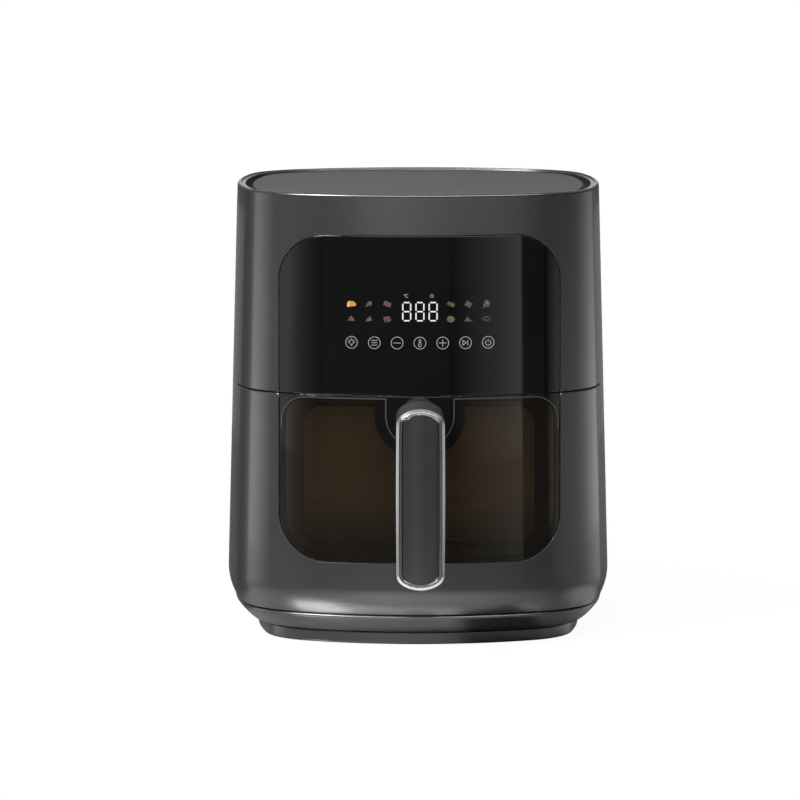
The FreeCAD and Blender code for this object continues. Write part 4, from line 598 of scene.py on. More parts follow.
PANEL_TOP, SPLIT_HOUSING, FRONT_STEPS = 296.6, -60.6, 22
PANEL_SHOULDER = PANEL_TOP - PANEL_CORNER
panel_edge = u_path(PANEL_HALF, HOUSING_EDGE, PANEL_TOP, PANEL_CORNER, grow=PANEL_GAP)
rim_edge = split_path(SPLIT_HOUSING, HOUSING_EDGE, RIM, PANEL_SHOULDER, PANEL_FLAT)
front_spots, front_quads = band(panel_edge, rim_edge, FRONT_STEPS)
count = len(panel_edge)
shared = LEG + BEND // 2 + 1
right_split = FRONT_STEPS * count + np.arange(shared)
left_split = FRONT_STEPS * count + count - 1 - np.arange(shared)

VENT_CUT, CORD_CUT = 46.0, 6.0
SWEEP_ROWS_TOP, CORD_LOW, CORD_HIGH, VENT_CUT_LOW = 46.0, 56.0, 68.0, 136.0
COLUMN_STEPS = (44, 6, 3, 6, 44)
ROW_STEPS = (13, 3, 4, 11, 8)
lower = stepped([BASE_TOP, SWEEP_ROWS_TOP, CORD_LOW, CORD_HIGH, VENT_CUT_LOW, HOUSING_EDGE], ROW_STEPS)
levels = np.concatenate([lower[:-1], rim_edge[:shared, 1]])
first_shared = len(levels) - shared
print("front of", len(front_quads), "quads;", len(levels), "levels behind it,", shared, "of them shared")

# %% The housing's wrap as one sheet

wrap, more = [], []
fresh = len(front_spots)
for row, z in enumerate(levels):
    begin = float(plan.run_at_y(SPLIT_HOUSING, draw_in(z)))
    cuts = [plan.half + cut for cut in (-VENT_CUT, -CORD_CUT, CORD_CUT, VENT_CUT)]
    runs = stepped([begin, *cuts, 2 * plan.half - begin], COLUMN_STEPS)
    joins = row - first_shared
    if joins >= 0:
        runs = runs[1:-1]
    ids = list(range(fresh, fresh + len(runs)))
    wrap.append([right_split[joins], *ids, left_split[joins]] if joins >= 0 else ids)
    fresh += len(runs)
    more += [(run, z) for run in runs]
columns = np.cumsum([0, *COLUMN_STEPS])
vent_opening = (columns[1], columns[4], VENT_CUT_LOW, HOUSING_EDGE)
cord_opening = (columns[2], columns[3], CORD_LOW, CORD_HIGH)


def left_out(column, low, high):
    """True for a quad inside one of the rear openings."""
    return any(
        first <= column < last and foot - NEARLY <= low and high <= head + NEARLY
        for first, last, foot, head in (vent_opening, cord_opening)
    )


side_quads = []
for low, high, foot, head in zip(wrap, wrap[1:], levels, levels[1:]):
    kept = [i for i in range(columns[-1]) if not left_out(i, foot, head)]
    side_quads += [(low[i], low[i + 1], high[i + 1], high[i]) for i in kept]
RIM_ROLL = 1.9


def housing_roll(run, z):
    """How far the wrap's edge is rolled over: most at the rim."""
    return RIM_ROLL if z > RIM - NEARLY else SEAM_ROLL


whole_spots = np.concatenate([front_spots, more])
housing = plate(skin, whole_spots, front_quads + side_quads, SKIN_WALL, housing_roll)
make("housing_wrap", housing, "shell", "housing", "outer_housing")

# %% [markdown]
# ## Touch panel, window glass and handle mount
# These three lie flush in the skin, so they are plates on the same rule. The panel and the mount are rows
# that narrow at two round corners. The glass is a band again, between its own edge and the notch for the
# mount.

# %% The touch panel's lens

CORNER_ROWS, LENS_ROWS, LENS_COLUMNS = 16, 20, 64
FLUSH_ROLL = 0.2


def tongue(half, opening, closed, corner, rows, columns):
    """Spots and quads of a tongue: one end is straight, the other has two round corners."""
    up = int(math.copysign(1.0, closed - opening))
    turns = np.linspace(0.0, math.pi / 2, CORNER_ROWS + 1)[1:]
    straight = np.linspace(opening, closed - up * corner, rows)
    levels = np.concatenate([straight, closed - up * corner * (1 - np.sin(turns))])
    halves = np.concatenate([np.full(rows, half), half - corner * (1 - np.cos(turns))])
    spots, quads = rows_between(levels[::up], halves[::up], columns)
    return on_skin(spots), quads


lens_patch = tongue(PANEL_HALF, HOUSING_EDGE, PANEL_TOP, PANEL_CORNER, LENS_ROWS, LENS_COLUMNS)
lens = plate(skin, *lens_patch, SKIN_WALL, FLUSH_ROLL)
make("touch_panel_lens", lens, "gloss_black", "housing", "control_panel")

# %% The window glass and the mount in its notch

MOUNT_HALF, MOUNT_BOTTOM, MOUNT_CORNER = 23.4, 146.6, 22.0
FIT, GLASS_WALL, GLASS_STEPS, MOUNT_ROWS, MOUNT_COLUMNS = 0.2, 3.0, 26, 8, 20
notch = u_path(MOUNT_HALF, FASCIA_TOP, MOUNT_BOTTOM, MOUNT_CORNER, grow=FIT)
glass_edge = u_path(PANEL_HALF, FASCIA_TOP, WINDOW_BOTTOM, PANEL_CORNER)
glass = plate(skin, *band(notch, glass_edge, GLASS_STEPS), GLASS_WALL, FLUSH_ROLL)
make("window_pane", glass, "tinted_glass", "drawer", "window_glass")

mount_patch = tongue(MOUNT_HALF, FASCIA_TOP, MOUNT_BOTTOM, MOUNT_CORNER, MOUNT_ROWS, MOUNT_COLUMNS)
mount = plate(skin, *mount_patch, GLASS_WALL, FLUSH_ROLL)
make("handle_shield", mount, "gloss_black", "drawer", "handle_mount")

# %% [markdown]
# ## Printed lines and lit marks
# The glass carries a thin bronze line and black print in its upper corners, and the lens shows lit
# digits, small food pictures and ringed keys. Print has almost no thickness, so each mark is a plate a
# few hundredths of a millimetre proud, mapped to the skin so that it follows the bow of the panel.

# %% Flat marks: strokes and filled shapes


def stroke(path, width, closed=False):
    """A line of even width along a path, as spots and quads."""
    path = np.asarray(path, float)
    ends = np.roll(path, -1, axis=0) - path
    ahead = ends / np.linalg.norm(ends, axis=1)[:, None]
    behind = np.roll(ahead, 1, axis=0)
    if not closed:
        ahead[-1], behind[0] = behind[-1], ahead[0]
    left_a, left_b = (np.column_stack([-d[:, 1], d[:, 0]]) for d in (ahead, behind))
    mitre = (left_a + left_b) / (1.0 + np.sum(left_a * left_b, axis=1))[:, None] * width / 2
    count = len(path)
    cells = [(i, (i + 1) % count) for i in range(count if closed else count - 1)]
    return np.concatenate([path + mitre, path - mitre]), [(count + a, count + b, b, a) for a, b in cells]


def filled(path):
    """A filled outline, anticlockwise, as a fan about its middle."""
    path = np.asarray(path, float)
    count = len(path)
    return np.concatenate([path, [path.mean(axis=0)]]), [(i, (i + 1) % count, count) for i in range(count)]


def ring_path(x, z, half_x, half_z=None, start=0.0, stop=360.0, steps=28):
    """Points on an ellipse or an arc of one."""
    turns = np.radians(np.linspace(start, stop, steps + 1))
    if stop - start == 360.0:
        turns = turns[:-1]
    half_z = half_x if half_z is None else half_z
    return np.column_stack([x + half_x * np.cos(turns), z + half_z * np.sin(turns)])


MARK_PROUD, MARK_SUNK, PRINT_PROUD, TOUCH_PROUD = 0.06, 0.05, 0.03, 0.09


def marks(name, shapes, finish, body, proud=MARK_PROUD):
    """One piece from several flat marks laid on the skin."""
    thick = proud + MARK_SUNK
    plates = [plate(skin, on_skin(spots), cells, thick, 0.0, lift=proud) for spots, cells in shapes]
    return make(name, joined(plates), finish, body)


print("marks stand", MARK_PROUD, "mm proud of the skin")

# %% The bronze line round the window

LINE_IN, LINE_DROP, LINE_WIDTH, LINE_CORNER, LINE_LEG, LINE_STEPS = 1.3, 1.7, 0.6, 17.0, 6.0, 13
NOTCH_CLEAR, NOTCH_LEG = 1.0, 4.0
line_x, line_z = PANEL_HALF - LINE_IN, FASCIA_TOP - LINE_DROP
bend_x, bend_z = line_x - LINE_CORNER, line_z - LINE_CORNER
notch_half, notch_round = MOUNT_HALF + NOTCH_CLEAR, MOUNT_CORNER + NOTCH_CLEAR
notch_low = MOUNT_BOTTOM - NOTCH_CLEAR
notch_bend = notch_low + notch_round
right = [
    (line_x, bend_z - LINE_LEG),
    *ring_path(bend_x, bend_z, LINE_CORNER, start=0.0, stop=90.0),
    *[(x, line_z) for x in np.linspace(bend_x, notch_half, LINE_STEPS + 1)[1:]],
    (notch_half, notch_bend + NOTCH_LEG),
    *ring_path(notch_half - notch_round, notch_bend, notch_round, start=0.0, stop=-90.0),
]
line = [*right, *[(-x, z) for x, z in reversed(right)]]
line_tones = (0.085, 0.072, 0.056), (0.12, 0.102, 0.08)
line_bronze = moulded("bronze_print", *line_tones, rough=0.35, metallic=0.6, bump=0.0)
marks("window_line", [stroke(line, LINE_WIDTH)], line_bronze, "drawer")

# %% Black print in the window's corners and round its notch

PRINT_EDGE, PRINT_LAP, MASK_DROP, MASK_WIDE, MASK_STEPS = 0.5, 0.3, 0.6, 8.0, 2
inside = ring_path(bend_x, bend_z, LINE_CORNER + PRINT_LAP, start=0.0, stop=90.0)
count = len(inside)
share = np.linspace(0.0, 1.0, count)
outside_x = PANEL_HALF - PRINT_EDGE - np.maximum(0.0, 2 * share - 1) * LINE_CORNER
outside_z = FASCIA_TOP - PRINT_EDGE - np.maximum(0.0, 1 - 2 * share) * LINE_CORNER
corner = np.concatenate([inside, np.column_stack([outside_x, outside_z])])
cells = [(i, i + count, i + count + 1, i + 1) for i in range(count - 1)]
corner_print = [(corner, cells), (corner * (-1.0, 1.0), [cell[::-1] for cell in cells])]
marks("window_corner_print", corner_print, finishes["gloss_black"], "drawer", proud=PRINT_PROUD)

mask_shape = (notch_half, FASCIA_TOP - MASK_DROP, notch_low, notch_round)
mask_edges = [u_path(*mask_shape, grow=grow) for grow in (PRINT_LAP, MASK_WIDE)]
mask = plate(skin, *band(*mask_edges, MASK_STEPS), PRINT_PROUD + MARK_SUNK, 0.0, lift=PRINT_PROUD)
make("window_mount_print", mask, finishes["gloss_black"], "drawer")

# %% [markdown]
# The display shows three digits with a temperature and a time mark over them, and six small pictures on
# either side, of which one is lit. The pictures are generic foods drawn from lumpy discs and strokes, so
# a short table of shapes is enough, and a plain dish sign fills the last place.

# %% Digits and unit marks

DIGIT_LEVEL, DIGIT_PITCH, DIGIT_STROKE, DIGIT_GAP = 243.1, 9.4, 0.95, 0.75
DIGIT_HALF, DIGIT_RISE = 2.8, 6.5
digit_marks = []
for middle in (-DIGIT_PITCH, 0.0, DIGIT_PITCH):
    for z in (DIGIT_LEVEL - DIGIT_RISE, DIGIT_LEVEL, DIGIT_LEVEL + DIGIT_RISE):
        reach = DIGIT_HALF - DIGIT_GAP
        digit_marks.append(stroke([(middle - reach, z), (middle + reach, z)], DIGIT_STROKE))
    for x in (middle - DIGIT_HALF, middle + DIGIT_HALF):
        for z in (DIGIT_LEVEL - DIGIT_RISE, DIGIT_LEVEL):
            ends = [(x, z + DIGIT_GAP), (x, z + DIGIT_RISE - DIGIT_GAP)]
            digit_marks.append(stroke(ends, DIGIT_STROKE))
lit_white = glowing("lit_white", (0.95, 0.97, 1.0), (0.8, 0.83, 0.88), strength=0.95)
marks("display_digits", digit_marks, lit_white, "housing")

UNIT_LEVEL, UNIT_FINE, UNIT_LINE, UNIT_BOLD = 254.3, 0.25, 0.3, 0.35
DEGREE_X, DEGREE_Z, DEGREE_HALF = -11.0, UNIT_LEVEL + 0.8, 0.45
SCALE_X, SCALE_HALF = -9.2, 1.1
CLOCK_X, CLOCK_HALF, LONG_HAND, SHORT_HAND = 8.5, 1.15, 0.75, 0.55
hands = [(CLOCK_X, UNIT_LEVEL + LONG_HAND), (CLOCK_X, UNIT_LEVEL), (CLOCK_X + SHORT_HAND, UNIT_LEVEL)]
unit_marks = [
    stroke(ring_path(DEGREE_X, DEGREE_Z, DEGREE_HALF, steps=12), UNIT_FINE, closed=True),
    stroke(ring_path(SCALE_X, UNIT_LEVEL, SCALE_HALF, start=50.0, stop=310.0, steps=16), UNIT_BOLD),
    stroke(ring_path(CLOCK_X, UNIT_LEVEL, CLOCK_HALF, steps=20), UNIT_LINE, closed=True),
    stroke(hands, UNIT_FINE),
]
marks("unit_marks", unit_marks, glowing("lit_grey", 0.55, 0.42, strength=0.7), "housing")

# %% Shapes for food pictures

PICTURE_X = {"a": -49.0, "b": -36.5, "c": -23.3, "d": 22.0, "e": 34.7, "f": 47.6}
PICTURE_LEVELS = {"0": 248.1, "1": 237.6}
BLOB_STEPS = 36


def placed(shapes, x, z):
    """Shapes drawn about the origin, put in place."""
    return [(spots + (x, z), cells) for spots, cells in shapes]


def blob(x, z, half_x, half_z, lumps, depth=0.1):
    """A lumpy outline, as food seen from above has."""
    turns = np.linspace(0.0, 2 * math.pi, BLOB_STEPS + 1)[:-1]
    swell = 1.0 + depth * np.sin(lumps * turns + lumps)
    return filled(np.column_stack([x + half_x * swell * np.cos(turns), z + half_z * swell * np.sin(turns)]))


def bars(angle, offsets, half, width):
    """Parallel thick strokes at an angle."""
    c, s = math.cos(math.radians(angle)), math.sin(math.radians(angle))
    turned = np.array([(c, s), (-s, c)])
    return [stroke(np.array([(-half, d), (half, d)]) @ turned, width) for d in offsets]


# Each food has a seat, a glow, the shapes of its body and the touches that lie on it.
foods = {
    "chips": (
        "a0", "lit_gold",
        [blob(0.0, 0.2, 2.7, 1.9, 7, 0.14), *bars(12, [-1.1, 0.0], 3.2, 0.8), *bars(-35, [0.2], 2.8, 0.8)],
        [*bars(20, [-1.1, 0.1, 1.2], 1.5, 0.35), *bars(-50, [-0.8, 0.9], 1.2, 0.3)],
    ),
    "drumstick": (
        "b0", "dim_brown",
        [blob(0.4, 0.4, 2.0, 1.8, 3, 0.12), *bars(40, [0.0], 2.9, 0.8)],
        [blob(0.8, 0.8, 0.8, 0.6, 3), *bars(40, [0.0], 2.4, 0.3)],
    ),
    "rashers": (
        "c0", "dim_red",
        bars(-24, [-0.95, 0.35, 1.6], 2.7, 1.0),
        bars(-24, [-0.3, 1.0], 2.4, 0.4),
    ),
    "mound": (
        "a1", "dim_red",
        [filled([(-3.0, -1.6), (3.0, -1.6), (1.7, 0.2), (0.5, 2.0), (-0.6, 2.0), (-1.8, 0.2)])],
        [blob(0.0, 0.9, 0.9, 0.5, 5), blob(-1.2, -0.7, 0.7, 0.4, 4), blob(1.2, -0.8, 0.7, 0.4, 4)],
    ),
    "wedge": (
        "b1", "dim_brown",
        [filled([(-2.7, -1.9), (2.7, -1.2), (1.0, 2.2)]), blob(-0.6, -0.2, 1.0, 0.9, 3)],
        [stroke([(-1.7, -1.3), (0.7, 1.5)], 0.4), stroke([(-0.2, -1.2), (1.4, 0.2)], 0.4)],
    ),
    "roast": (
        "c1", "dim_red",
        [blob(0.0, 0.0, 2.8, 2.2, 4)],
        [stroke(ring_path(-0.3, 0.2, 1.5, 1.0, 20.0, 200.0), 0.4), blob(1.0, -0.8, 0.5, 0.4, 3)],
    ),
    "greens": (
        "d0", "dim_green",
        [blob(-1.0, 0.6, 1.7, 1.5, 5, 0.12), blob(1.1, -0.3, 1.9, 1.6, 6, 0.12)],
        [blob(-1.3, 0.9, 0.6, 0.5, 4), blob(0.8, 0.1, 0.7, 0.5, 4), blob(1.8, -1.0, 0.5, 0.4, 3)],
    ),
    "sausages": (
        "e0", "dim_brown",
        bars(-32, [-1.3, 0.1, 1.5], 2.4, 1.1),
        bars(-32, [-0.6, 0.8], 2.0, 0.35),
    ),
    "cutlet": (
        "f0", "dim_brown",
        [blob(0.2, 0.2, 2.4, 2.6, 3, 0.08), stroke([(-1.2, -1.6), (-2.6, -3.0)], 0.7)],
        [blob(0.4, 0.7, 1.1, 1.2, 3), stroke(ring_path(0.2, 0.2, 1.9, 2.0, 190.0, 320.0), 0.35)],
    ),
    "bun": (
        "d1", "dim_ochre",
        [blob(0.0, 0.0, 2.7, 2.4, 2, 0.03)],
        [stroke(ring_path(0.0, 0.1, 1.5, 1.2), 0.35, closed=True), blob(0.0, 0.2, 0.5, 0.4, 3)],
    ),
    "fish": (
        "e1", "dim_grey",
        [filled([(-3.2, -1.8), (3.4, -1.7), (0.6, 0.0), (-0.4, 2.0)])],
        [stroke([(-1.8, -1.0), (0.0, 0.9)], 0.35)],
    ),
    "dish": (
        "f1", "dim_grey",
        [stroke(ring_path(0.0, 0.0, half, 0.6 * half), 0.4, closed=True) for half in (2.9, 1.7)],
        [],
    ),
}
print(len(foods), "pictures:", ", ".join(foods))

# %% Food pictures and their touches

PICTURE_MOTTLE, PICTURE_CONTRAST, TOUCH_CONTRAST, TOUCH_DIM = 800.0, 4.0, 3.0, 0.5
# Each glow has a bright colour, a dim one and a strength.
picture_glows = {
    "lit_gold": ((1.0, 0.72, 0.3), (0.85, 0.42, 0.07), 0.95),
    "dim_brown": ((0.3, 0.16, 0.06), (0.07, 0.03, 0.015), 0.42),
    "dim_red": ((0.28, 0.08, 0.06), (0.07, 0.02, 0.02), 0.42),
    "dim_ochre": ((0.34, 0.22, 0.09), (0.1, 0.06, 0.02), 0.5),
    "dim_green": ((0.16, 0.15, 0.08), (0.04, 0.04, 0.02), 0.42),
    "dim_grey": (0.13, 0.06, 0.5),
}
touch_glows = {"lit": ((0.45, 0.15, 0.01), 0.8), "dim": ((0.5, 0.36, 0.24), 0.5)}


def seated(glow, layer):
    """The shapes of one layer of all foods whose glow has this start, each at its seat."""
    shapes = []
    for seat, its_glow, *layers in foods.values():
        if its_glow.startswith(glow):
            shapes += placed(layers[layer], PICTURE_X[seat[0]], PICTURE_LEVELS[seat[1]])
    return shapes


for glow, recipe in picture_glows.items():
    finish = glowing("picture_" + glow, *recipe, PICTURE_MOTTLE, PICTURE_CONTRAST)
    marks("pictures_" + glow, seated(glow, 0), finish, "housing")
for glow, (colour, strength) in touch_glows.items():
    dim = [TOUCH_DIM * part for part in colour]
    finish = glowing("touch_" + glow, colour, dim, strength, PICTURE_MOTTLE, TOUCH_CONTRAST)
    marks("picture_touches_" + glow, seated(glow, 1), finish, "housing", proud=TOUCH_PROUD)

# %% [markdown]
# The keys are drawn with one fine line: a lamp, a list, less, heat, more, start and power. They are the
# plain signs that any such panel has, each about its own middle and then set out at an even pitch.

# %% Key symbols

KEY_LEVEL, KEY_PITCH, KEY_RING, KEY_COUNT = 220.65, 16.28, 4.25, 7
FINE, LAMP_RISE = 0.27, 0.4
KEY_X = [(index - (KEY_COUNT - 1) / 2) * KEY_PITCH for index in range(KEY_COUNT)]


def thin(*path, closed=False):
    """A fine line through some points."""
    return stroke(path, FINE, closed)


def arc(x, z, radius, start, stop, steps):
    """A fine arc of a circle."""
    return stroke(ring_path(x, z, radius, start=start, stop=stop, steps=steps), FINE)


def ray(turn, near=2.1, far=2.8):
    """A short line pointing away from the lamp's middle."""
    way = np.array([math.cos(math.radians(turn)), math.sin(math.radians(turn))])
    return thin(*[way * reach + (0.0, LAMP_RISE) for reach in (near, far)])


minus = thin((-2.7, 0.0), (2.7, 0.0))
lamp_rays = [ray(turn) for turn in (-10, 30, 90, 150, 190)]
lamp_foot = [thin((-0.7, z), (0.7, z)) for z in (-1.4, -2.1)]
heat_sides = [thin((side, -0.9), (side, 2.0)) for side in (-0.6, 0.6)]
heat_ends = [arc(0.0, -1.7, 1.0, 125.0, 415.0, 20), arc(0.0, 2.0, 0.6, 0.0, 180.0, 8)]
key_symbols = {
    "lamp": [arc(0.0, LAMP_RISE, 1.45, -60.0, 240.0, 20), *lamp_rays, *lamp_foot],
    "list": [thin((-2.2, z), (2.2, z)) for z in (-1.7, 0.0, 1.7)],
    "less": [minus],
    "heat": [*heat_sides, *heat_ends],
    "more": [minus, thin((0.0, -2.7), (0.0, -0.2)), thin((0.0, 0.2), (0.0, 2.7))],
    "start": [thin((-1.9, -1.8), (0.7, 0.0), (-1.9, 1.8), closed=True), thin((1.7, -1.9), (1.7, 1.9))],
    "power": [arc(0.0, -0.2, 1.9, 125.0, 415.0, 24), thin((0.0, 0.3), (0.0, 2.4))],
}
shapes = []
for x, symbol in zip(KEY_X, key_symbols.values()):
    shapes += placed(symbol, x, KEY_LEVEL)
lit_key = glowing("lit_key", 0.85, 0.7, strength=0.82)
marks("key_symbols", shapes, lit_key, "housing")

# %% [markdown]
# ## Geometry Nodes for what repeats and what follows a path
# Two small trees do the repeating work. One sweeps a section round a path, as a moulded rim follows the
# body. One sets a piece on marks that carry their own turn. Each ends in plain geometry with its finish,
# which is then taken off the modifier as an ordinary mesh.

# %% Building and running a tree


def new_tree(name, sockets):
    """An empty tree with a geometry input, named inputs and a geometry output."""
    tree = bpy.data.node_groups.new(name, "GeometryNodeTree")
    for label, kind in [("Geometry", "Geometry"), *sockets, ("Finish", "Material")]:
        tree.interface.new_socket(label, in_out="INPUT", socket_type="NodeSocket" + kind)
    tree.interface.new_socket("Geometry", in_out="OUTPUT", socket_type="NodeSocketGeometry")
    return tree, tree.nodes.new("NodeGroupInput"), tree.nodes.new("NodeGroupOutput")


def chain(tree, source, *steps):
    """Adds nodes one after another; a step is a type, its settings, and links to named inputs."""
    for kind, settings, extra in steps:
        node = tree.nodes.new("GeometryNode" + kind)
        for key, value in settings.items():
            setattr(node, key, value)
        tree.links.new(source, node.inputs[0])
        for key, value in extra.items():
            if isinstance(value, bpy.types.NodeSocket):
                tree.links.new(value, node.inputs[key])
            else:
                node.inputs[key].default_value = value
        source = node.outputs[0]
    return source


def run_tree(tree, host, **values):
    """Runs a tree on a host object and leaves its result as the host's plain mesh."""
    modifier = host.modifiers.new(tree.name, "NODES")
    modifier.node_group = tree
    for item in tree.interface.items_tree:
        if item.in_out == "INPUT" and item.name in values:
            modifier[item.identifier] = values[item.name]
    graph = bpy.context.evaluated_depsgraph_get()
    mesh = bpy.data.meshes.new_from_object(host.evaluated_get(graph))
    host.modifiers.remove(modifier)
    host.data = mesh
    return host


# %% The two trees

sweep_tree, given, result = new_tree("section_swept_along_path", [("Section", "Object")])
section_info = sweep_tree.nodes.new("GeometryNodeObjectInfo")
sweep_tree.links.new(given.outputs["Section"], section_info.inputs["Object"])
profile = chain(sweep_tree, section_info.outputs["Geometry"], ("MeshToCurve", {}, {}))
swept = chain(
    sweep_tree,
    given.outputs["Geometry"],
    ("MeshToCurve", {}, {}),
    ("SetCurveNormal", {"mode": "Z_UP"}, {}),
    ("CurveToMesh", {}, {"Profile Curve": profile, "Fill Caps": True}),
    ("SetShadeSmooth", {}, {}),
    ("RealizeInstances", {}, {}),
    ("SetMaterial", {}, {"Material": given.outputs["Finish"]}),
)
sweep_tree.links.new(swept, result.inputs["Geometry"])

marks_tree, given, result = new_tree("pieces_set_on_marks", [("Piece", "Object"), ("Size", "Float")])
piece_info = marks_tree.nodes.new("GeometryNodeObjectInfo")
marks_tree.links.new(given.outputs["Piece"], piece_info.inputs["Object"])
turn = marks_tree.nodes.new("GeometryNodeInputNamedAttribute")
turn.data_type = "FLOAT_VECTOR"
turn.inputs["Name"].default_value = "turn"
as_turn = marks_tree.nodes.new("FunctionNodeEulerToRotation")
marks_tree.links.new(turn.outputs["Attribute"], as_turn.inputs["Euler"])
setting = {
    "Instance": piece_info.outputs["Geometry"],
    "Rotation": as_turn.outputs[0],
    "Scale": given.outputs["Size"],
}
set_pieces = chain(
    marks_tree,
    given.outputs["Geometry"],
    ("MeshToPoints", {}, {}),
    ("InstanceOnPoints", {}, setting),
    ("RealizeInstances", {}, {}),
    ("SetMaterial", {}, {"Material": given.outputs["Finish"]}),
)
marks_tree.links.new(set_pieces, result.inputs["Geometry"])
print("trees:", sweep_tree.name, "and", marks_tree.name)

# %% Sections, sweeps and sets

SHARP = math.radians(38.0)
HOLD, ROUND_STEPS = 0.25, 4


def section(corners):
    """A section of (inset, level) corners; a third number rounds one, with holding points beside it."""
    places = [np.array(corner[:2], float) for corner in corners]
    made = []
    for k, (here, (_, _, *size)) in enumerate(zip(places, corners)):
        if not size:
            made.append(here)
            continue
        back, fore = (places[(k + d) % len(places)] - here for d in (-1, 1))
        back, fore = back / np.linalg.norm(back), fore / np.linalg.norm(fore)
        half = math.acos(np.clip(np.dot(back, fore), -1, 1)) / 2
        reach = size[0] / math.tan(half)
        middle = here + (back + fore) / np.linalg.norm(back + fore) * size[0] / math.sin(half)
        first, last = here + back * reach - middle, here + fore * reach - middle
        sweep_turn = math.pi - 2 * half
        made.append(middle + first + back * HOLD)
        for t in np.linspace(0.0, 1.0, ROUND_STEPS + 1):
            bent = first * math.sin((1 - t) * sweep_turn) + last * math.sin(t * sweep_turn)
            made.append(middle + bent / math.sin(sweep_turn))
        made.append(middle + last + fore * HOLD)
    return made


def line_object(name, points, closed):
    """A path or a section as an edge-only mesh."""
    count = len(points)
    edges = [(i, (i + 1) % count) for i in range(count if closed else count - 1)]
    return new_object(name, new_mesh(name, [tuple(float(c) for c in p) for p in points], edges=edges))


def sweep(name, path, profile, finish, closed=True, open_profile=False, turn=None):
    """Sweeps a section of (inset, level) points along a flat path; two floors close an open section."""
    host = line_object(name, [(x * MM, y * MM, 0.0) for x, y in path], closed)
    places = [(-inset * MM, -level * MM, 0.0) for inset, level in profile]
    tool = line_object("section", places, not open_profile)
    run_tree(sweep_tree, host, Section=tool, Finish=finish)
    bpy.data.objects.remove(tool)
    shape = bmesh.new()
    shape.from_mesh(host.data)
    if open_profile:
        bmesh.ops.holes_fill(shape, edges=[e for e in shape.edges if e.is_boundary], sides=0)
    bmesh.ops.recalc_face_normals(shape, faces=shape.faces)
    if turn is not None:
        bmesh.ops.transform(shape, matrix=turn, verts=shape.verts)
    bmesh.ops.translate(shape, vec=(0.0, CENTRE_Y * MM, 0.0), verts=shape.verts)
    shape.to_mesh(host.data)
    shape.free()
    host.data.polygons.foreach_set("use_smooth", [True] * len(host.data.polygons))
    host.data.set_sharp_from_angle(angle=SHARP)
    return host


def set_on(name, piece, places, finish, size=1.0):
    """Sets a small piece on marks, each a point and three turns, in the body's own millimetres."""
    mesh = new_mesh(name, [(x * MM, (y + CENTRE_Y) * MM, z * MM) for x, y, z, *_ in places])
    mesh.attributes.new("turn", "FLOAT_VECTOR", "POINT")
    mesh.attributes["turn"].data.foreach_set("vector", [float(t) for spot in places for t in spot[3:]])
    host = run_tree(marks_tree, new_object(name, mesh), Piece=piece, Finish=finish, Size=size)
    bpy.data.objects.remove(piece)
    return host


ROUND = 260
outline = plan.at(np.linspace(-plan.half, plan.half, ROUND + 1)[:-1])[0]
print("sections are carried round", len(outline), "points of the plan")

# %% [markdown]
# ## Foot: base band and plinth
# The base is the last band of the body's sweep, under a seam; below it a shadow gap and a stepped-in
# plinth make the body look as if it floats. Both are one section carried round the plan, closed below
# and above by flat floors, so the sweep tree makes them whole. A plain deck, two loops with caps, closes
# the base where the drawer front stands over it.

# %% Base band and plinth

BASE_EDGE, BASE_PROUD, BASE_FLOOR, BASE_STEP, BASE_LIP = 10.5, 1.5, 13.0, 6.0, 20.7
BAND_HIGH, BAND_LOW, BAND_ROWS = BASE_TOP - 2.6, BASE_EDGE + 1.0, 8
PLINTH_TOP, PLINTH_FOOT, PLINTH_FLOOR = 9.0, 0.4, 3.8
PLINTH_INSET, NECK_INSET, WALL_INSET, FLOOR_INSET = 23.0, 28.0, 31.0, 66.0
top_in, low_in = (float(draw_in(z)) - BASE_PROUD for z in (BASE_TOP, BASE_EDGE))
base_section = section(
    [
        (FLOOR_INSET, BASE_FLOOR),
        (low_in + BASE_STEP, BASE_FLOOR),
        (top_in + SKIN_WALL, BASE_LIP),
        (top_in + SKIN_WALL, BASE_TOP, 0.3),
        (top_in, BASE_TOP, 1.7),
        *[(float(draw_in(z)) - BASE_PROUD, z) for z in np.linspace(BAND_HIGH, BAND_LOW, BAND_ROWS)],
        (low_in, BASE_EDGE, 0.5),
        (FLOOR_INSET, BASE_EDGE),
    ]
)
base_ring = sweep("base_band", outline, base_section, finishes["shell"], open_profile=True)
settle(base_ring, "housing", "base_pan")

plinth_section = section(
    [
        (FLOOR_INSET, PLINTH_FLOOR),
        (WALL_INSET, PLINTH_FLOOR),
        (WALL_INSET, BASE_EDGE),
        (NECK_INSET, BASE_EDGE),
        (NECK_INSET, PLINTH_TOP),
        (PLINTH_INSET, PLINTH_TOP, 0.7),
        (PLINTH_INSET, PLINTH_FOOT, 1.4),
        (FLOOR_INSET, PLINTH_FOOT),
    ]
)
plinth = sweep("plinth_stand", outline, plinth_section, finishes["shell"], open_profile=True)
settle(plinth, "housing", "plinth")

# %% The deck under the drawer front

DECK_BACK, DECK_POINTS, DECK_TOP, DECK_UNDER = -55.5, 90, BASE_TOP - 0.3, BASE_TOP - 2.5


def stacked(loops, closed=False):
    """Points and faces over loops of points; a stack that doesn't close on itself has two caps."""
    steps = len(loops[0])
    rings = [range(k * steps, (k + 1) * steps) for k in range(len(loops))]
    faces = [] if closed else [tuple(rings[0]), tuple(reversed(rings[-1]))]
    for low, high in zip(rings, rings[1:] + rings[:1] if closed else rings[1:]):
        faces += [(low[i - 1], high[i - 1], high[i], low[i]) for i in range(steps)]
    return np.concatenate(loops), faces


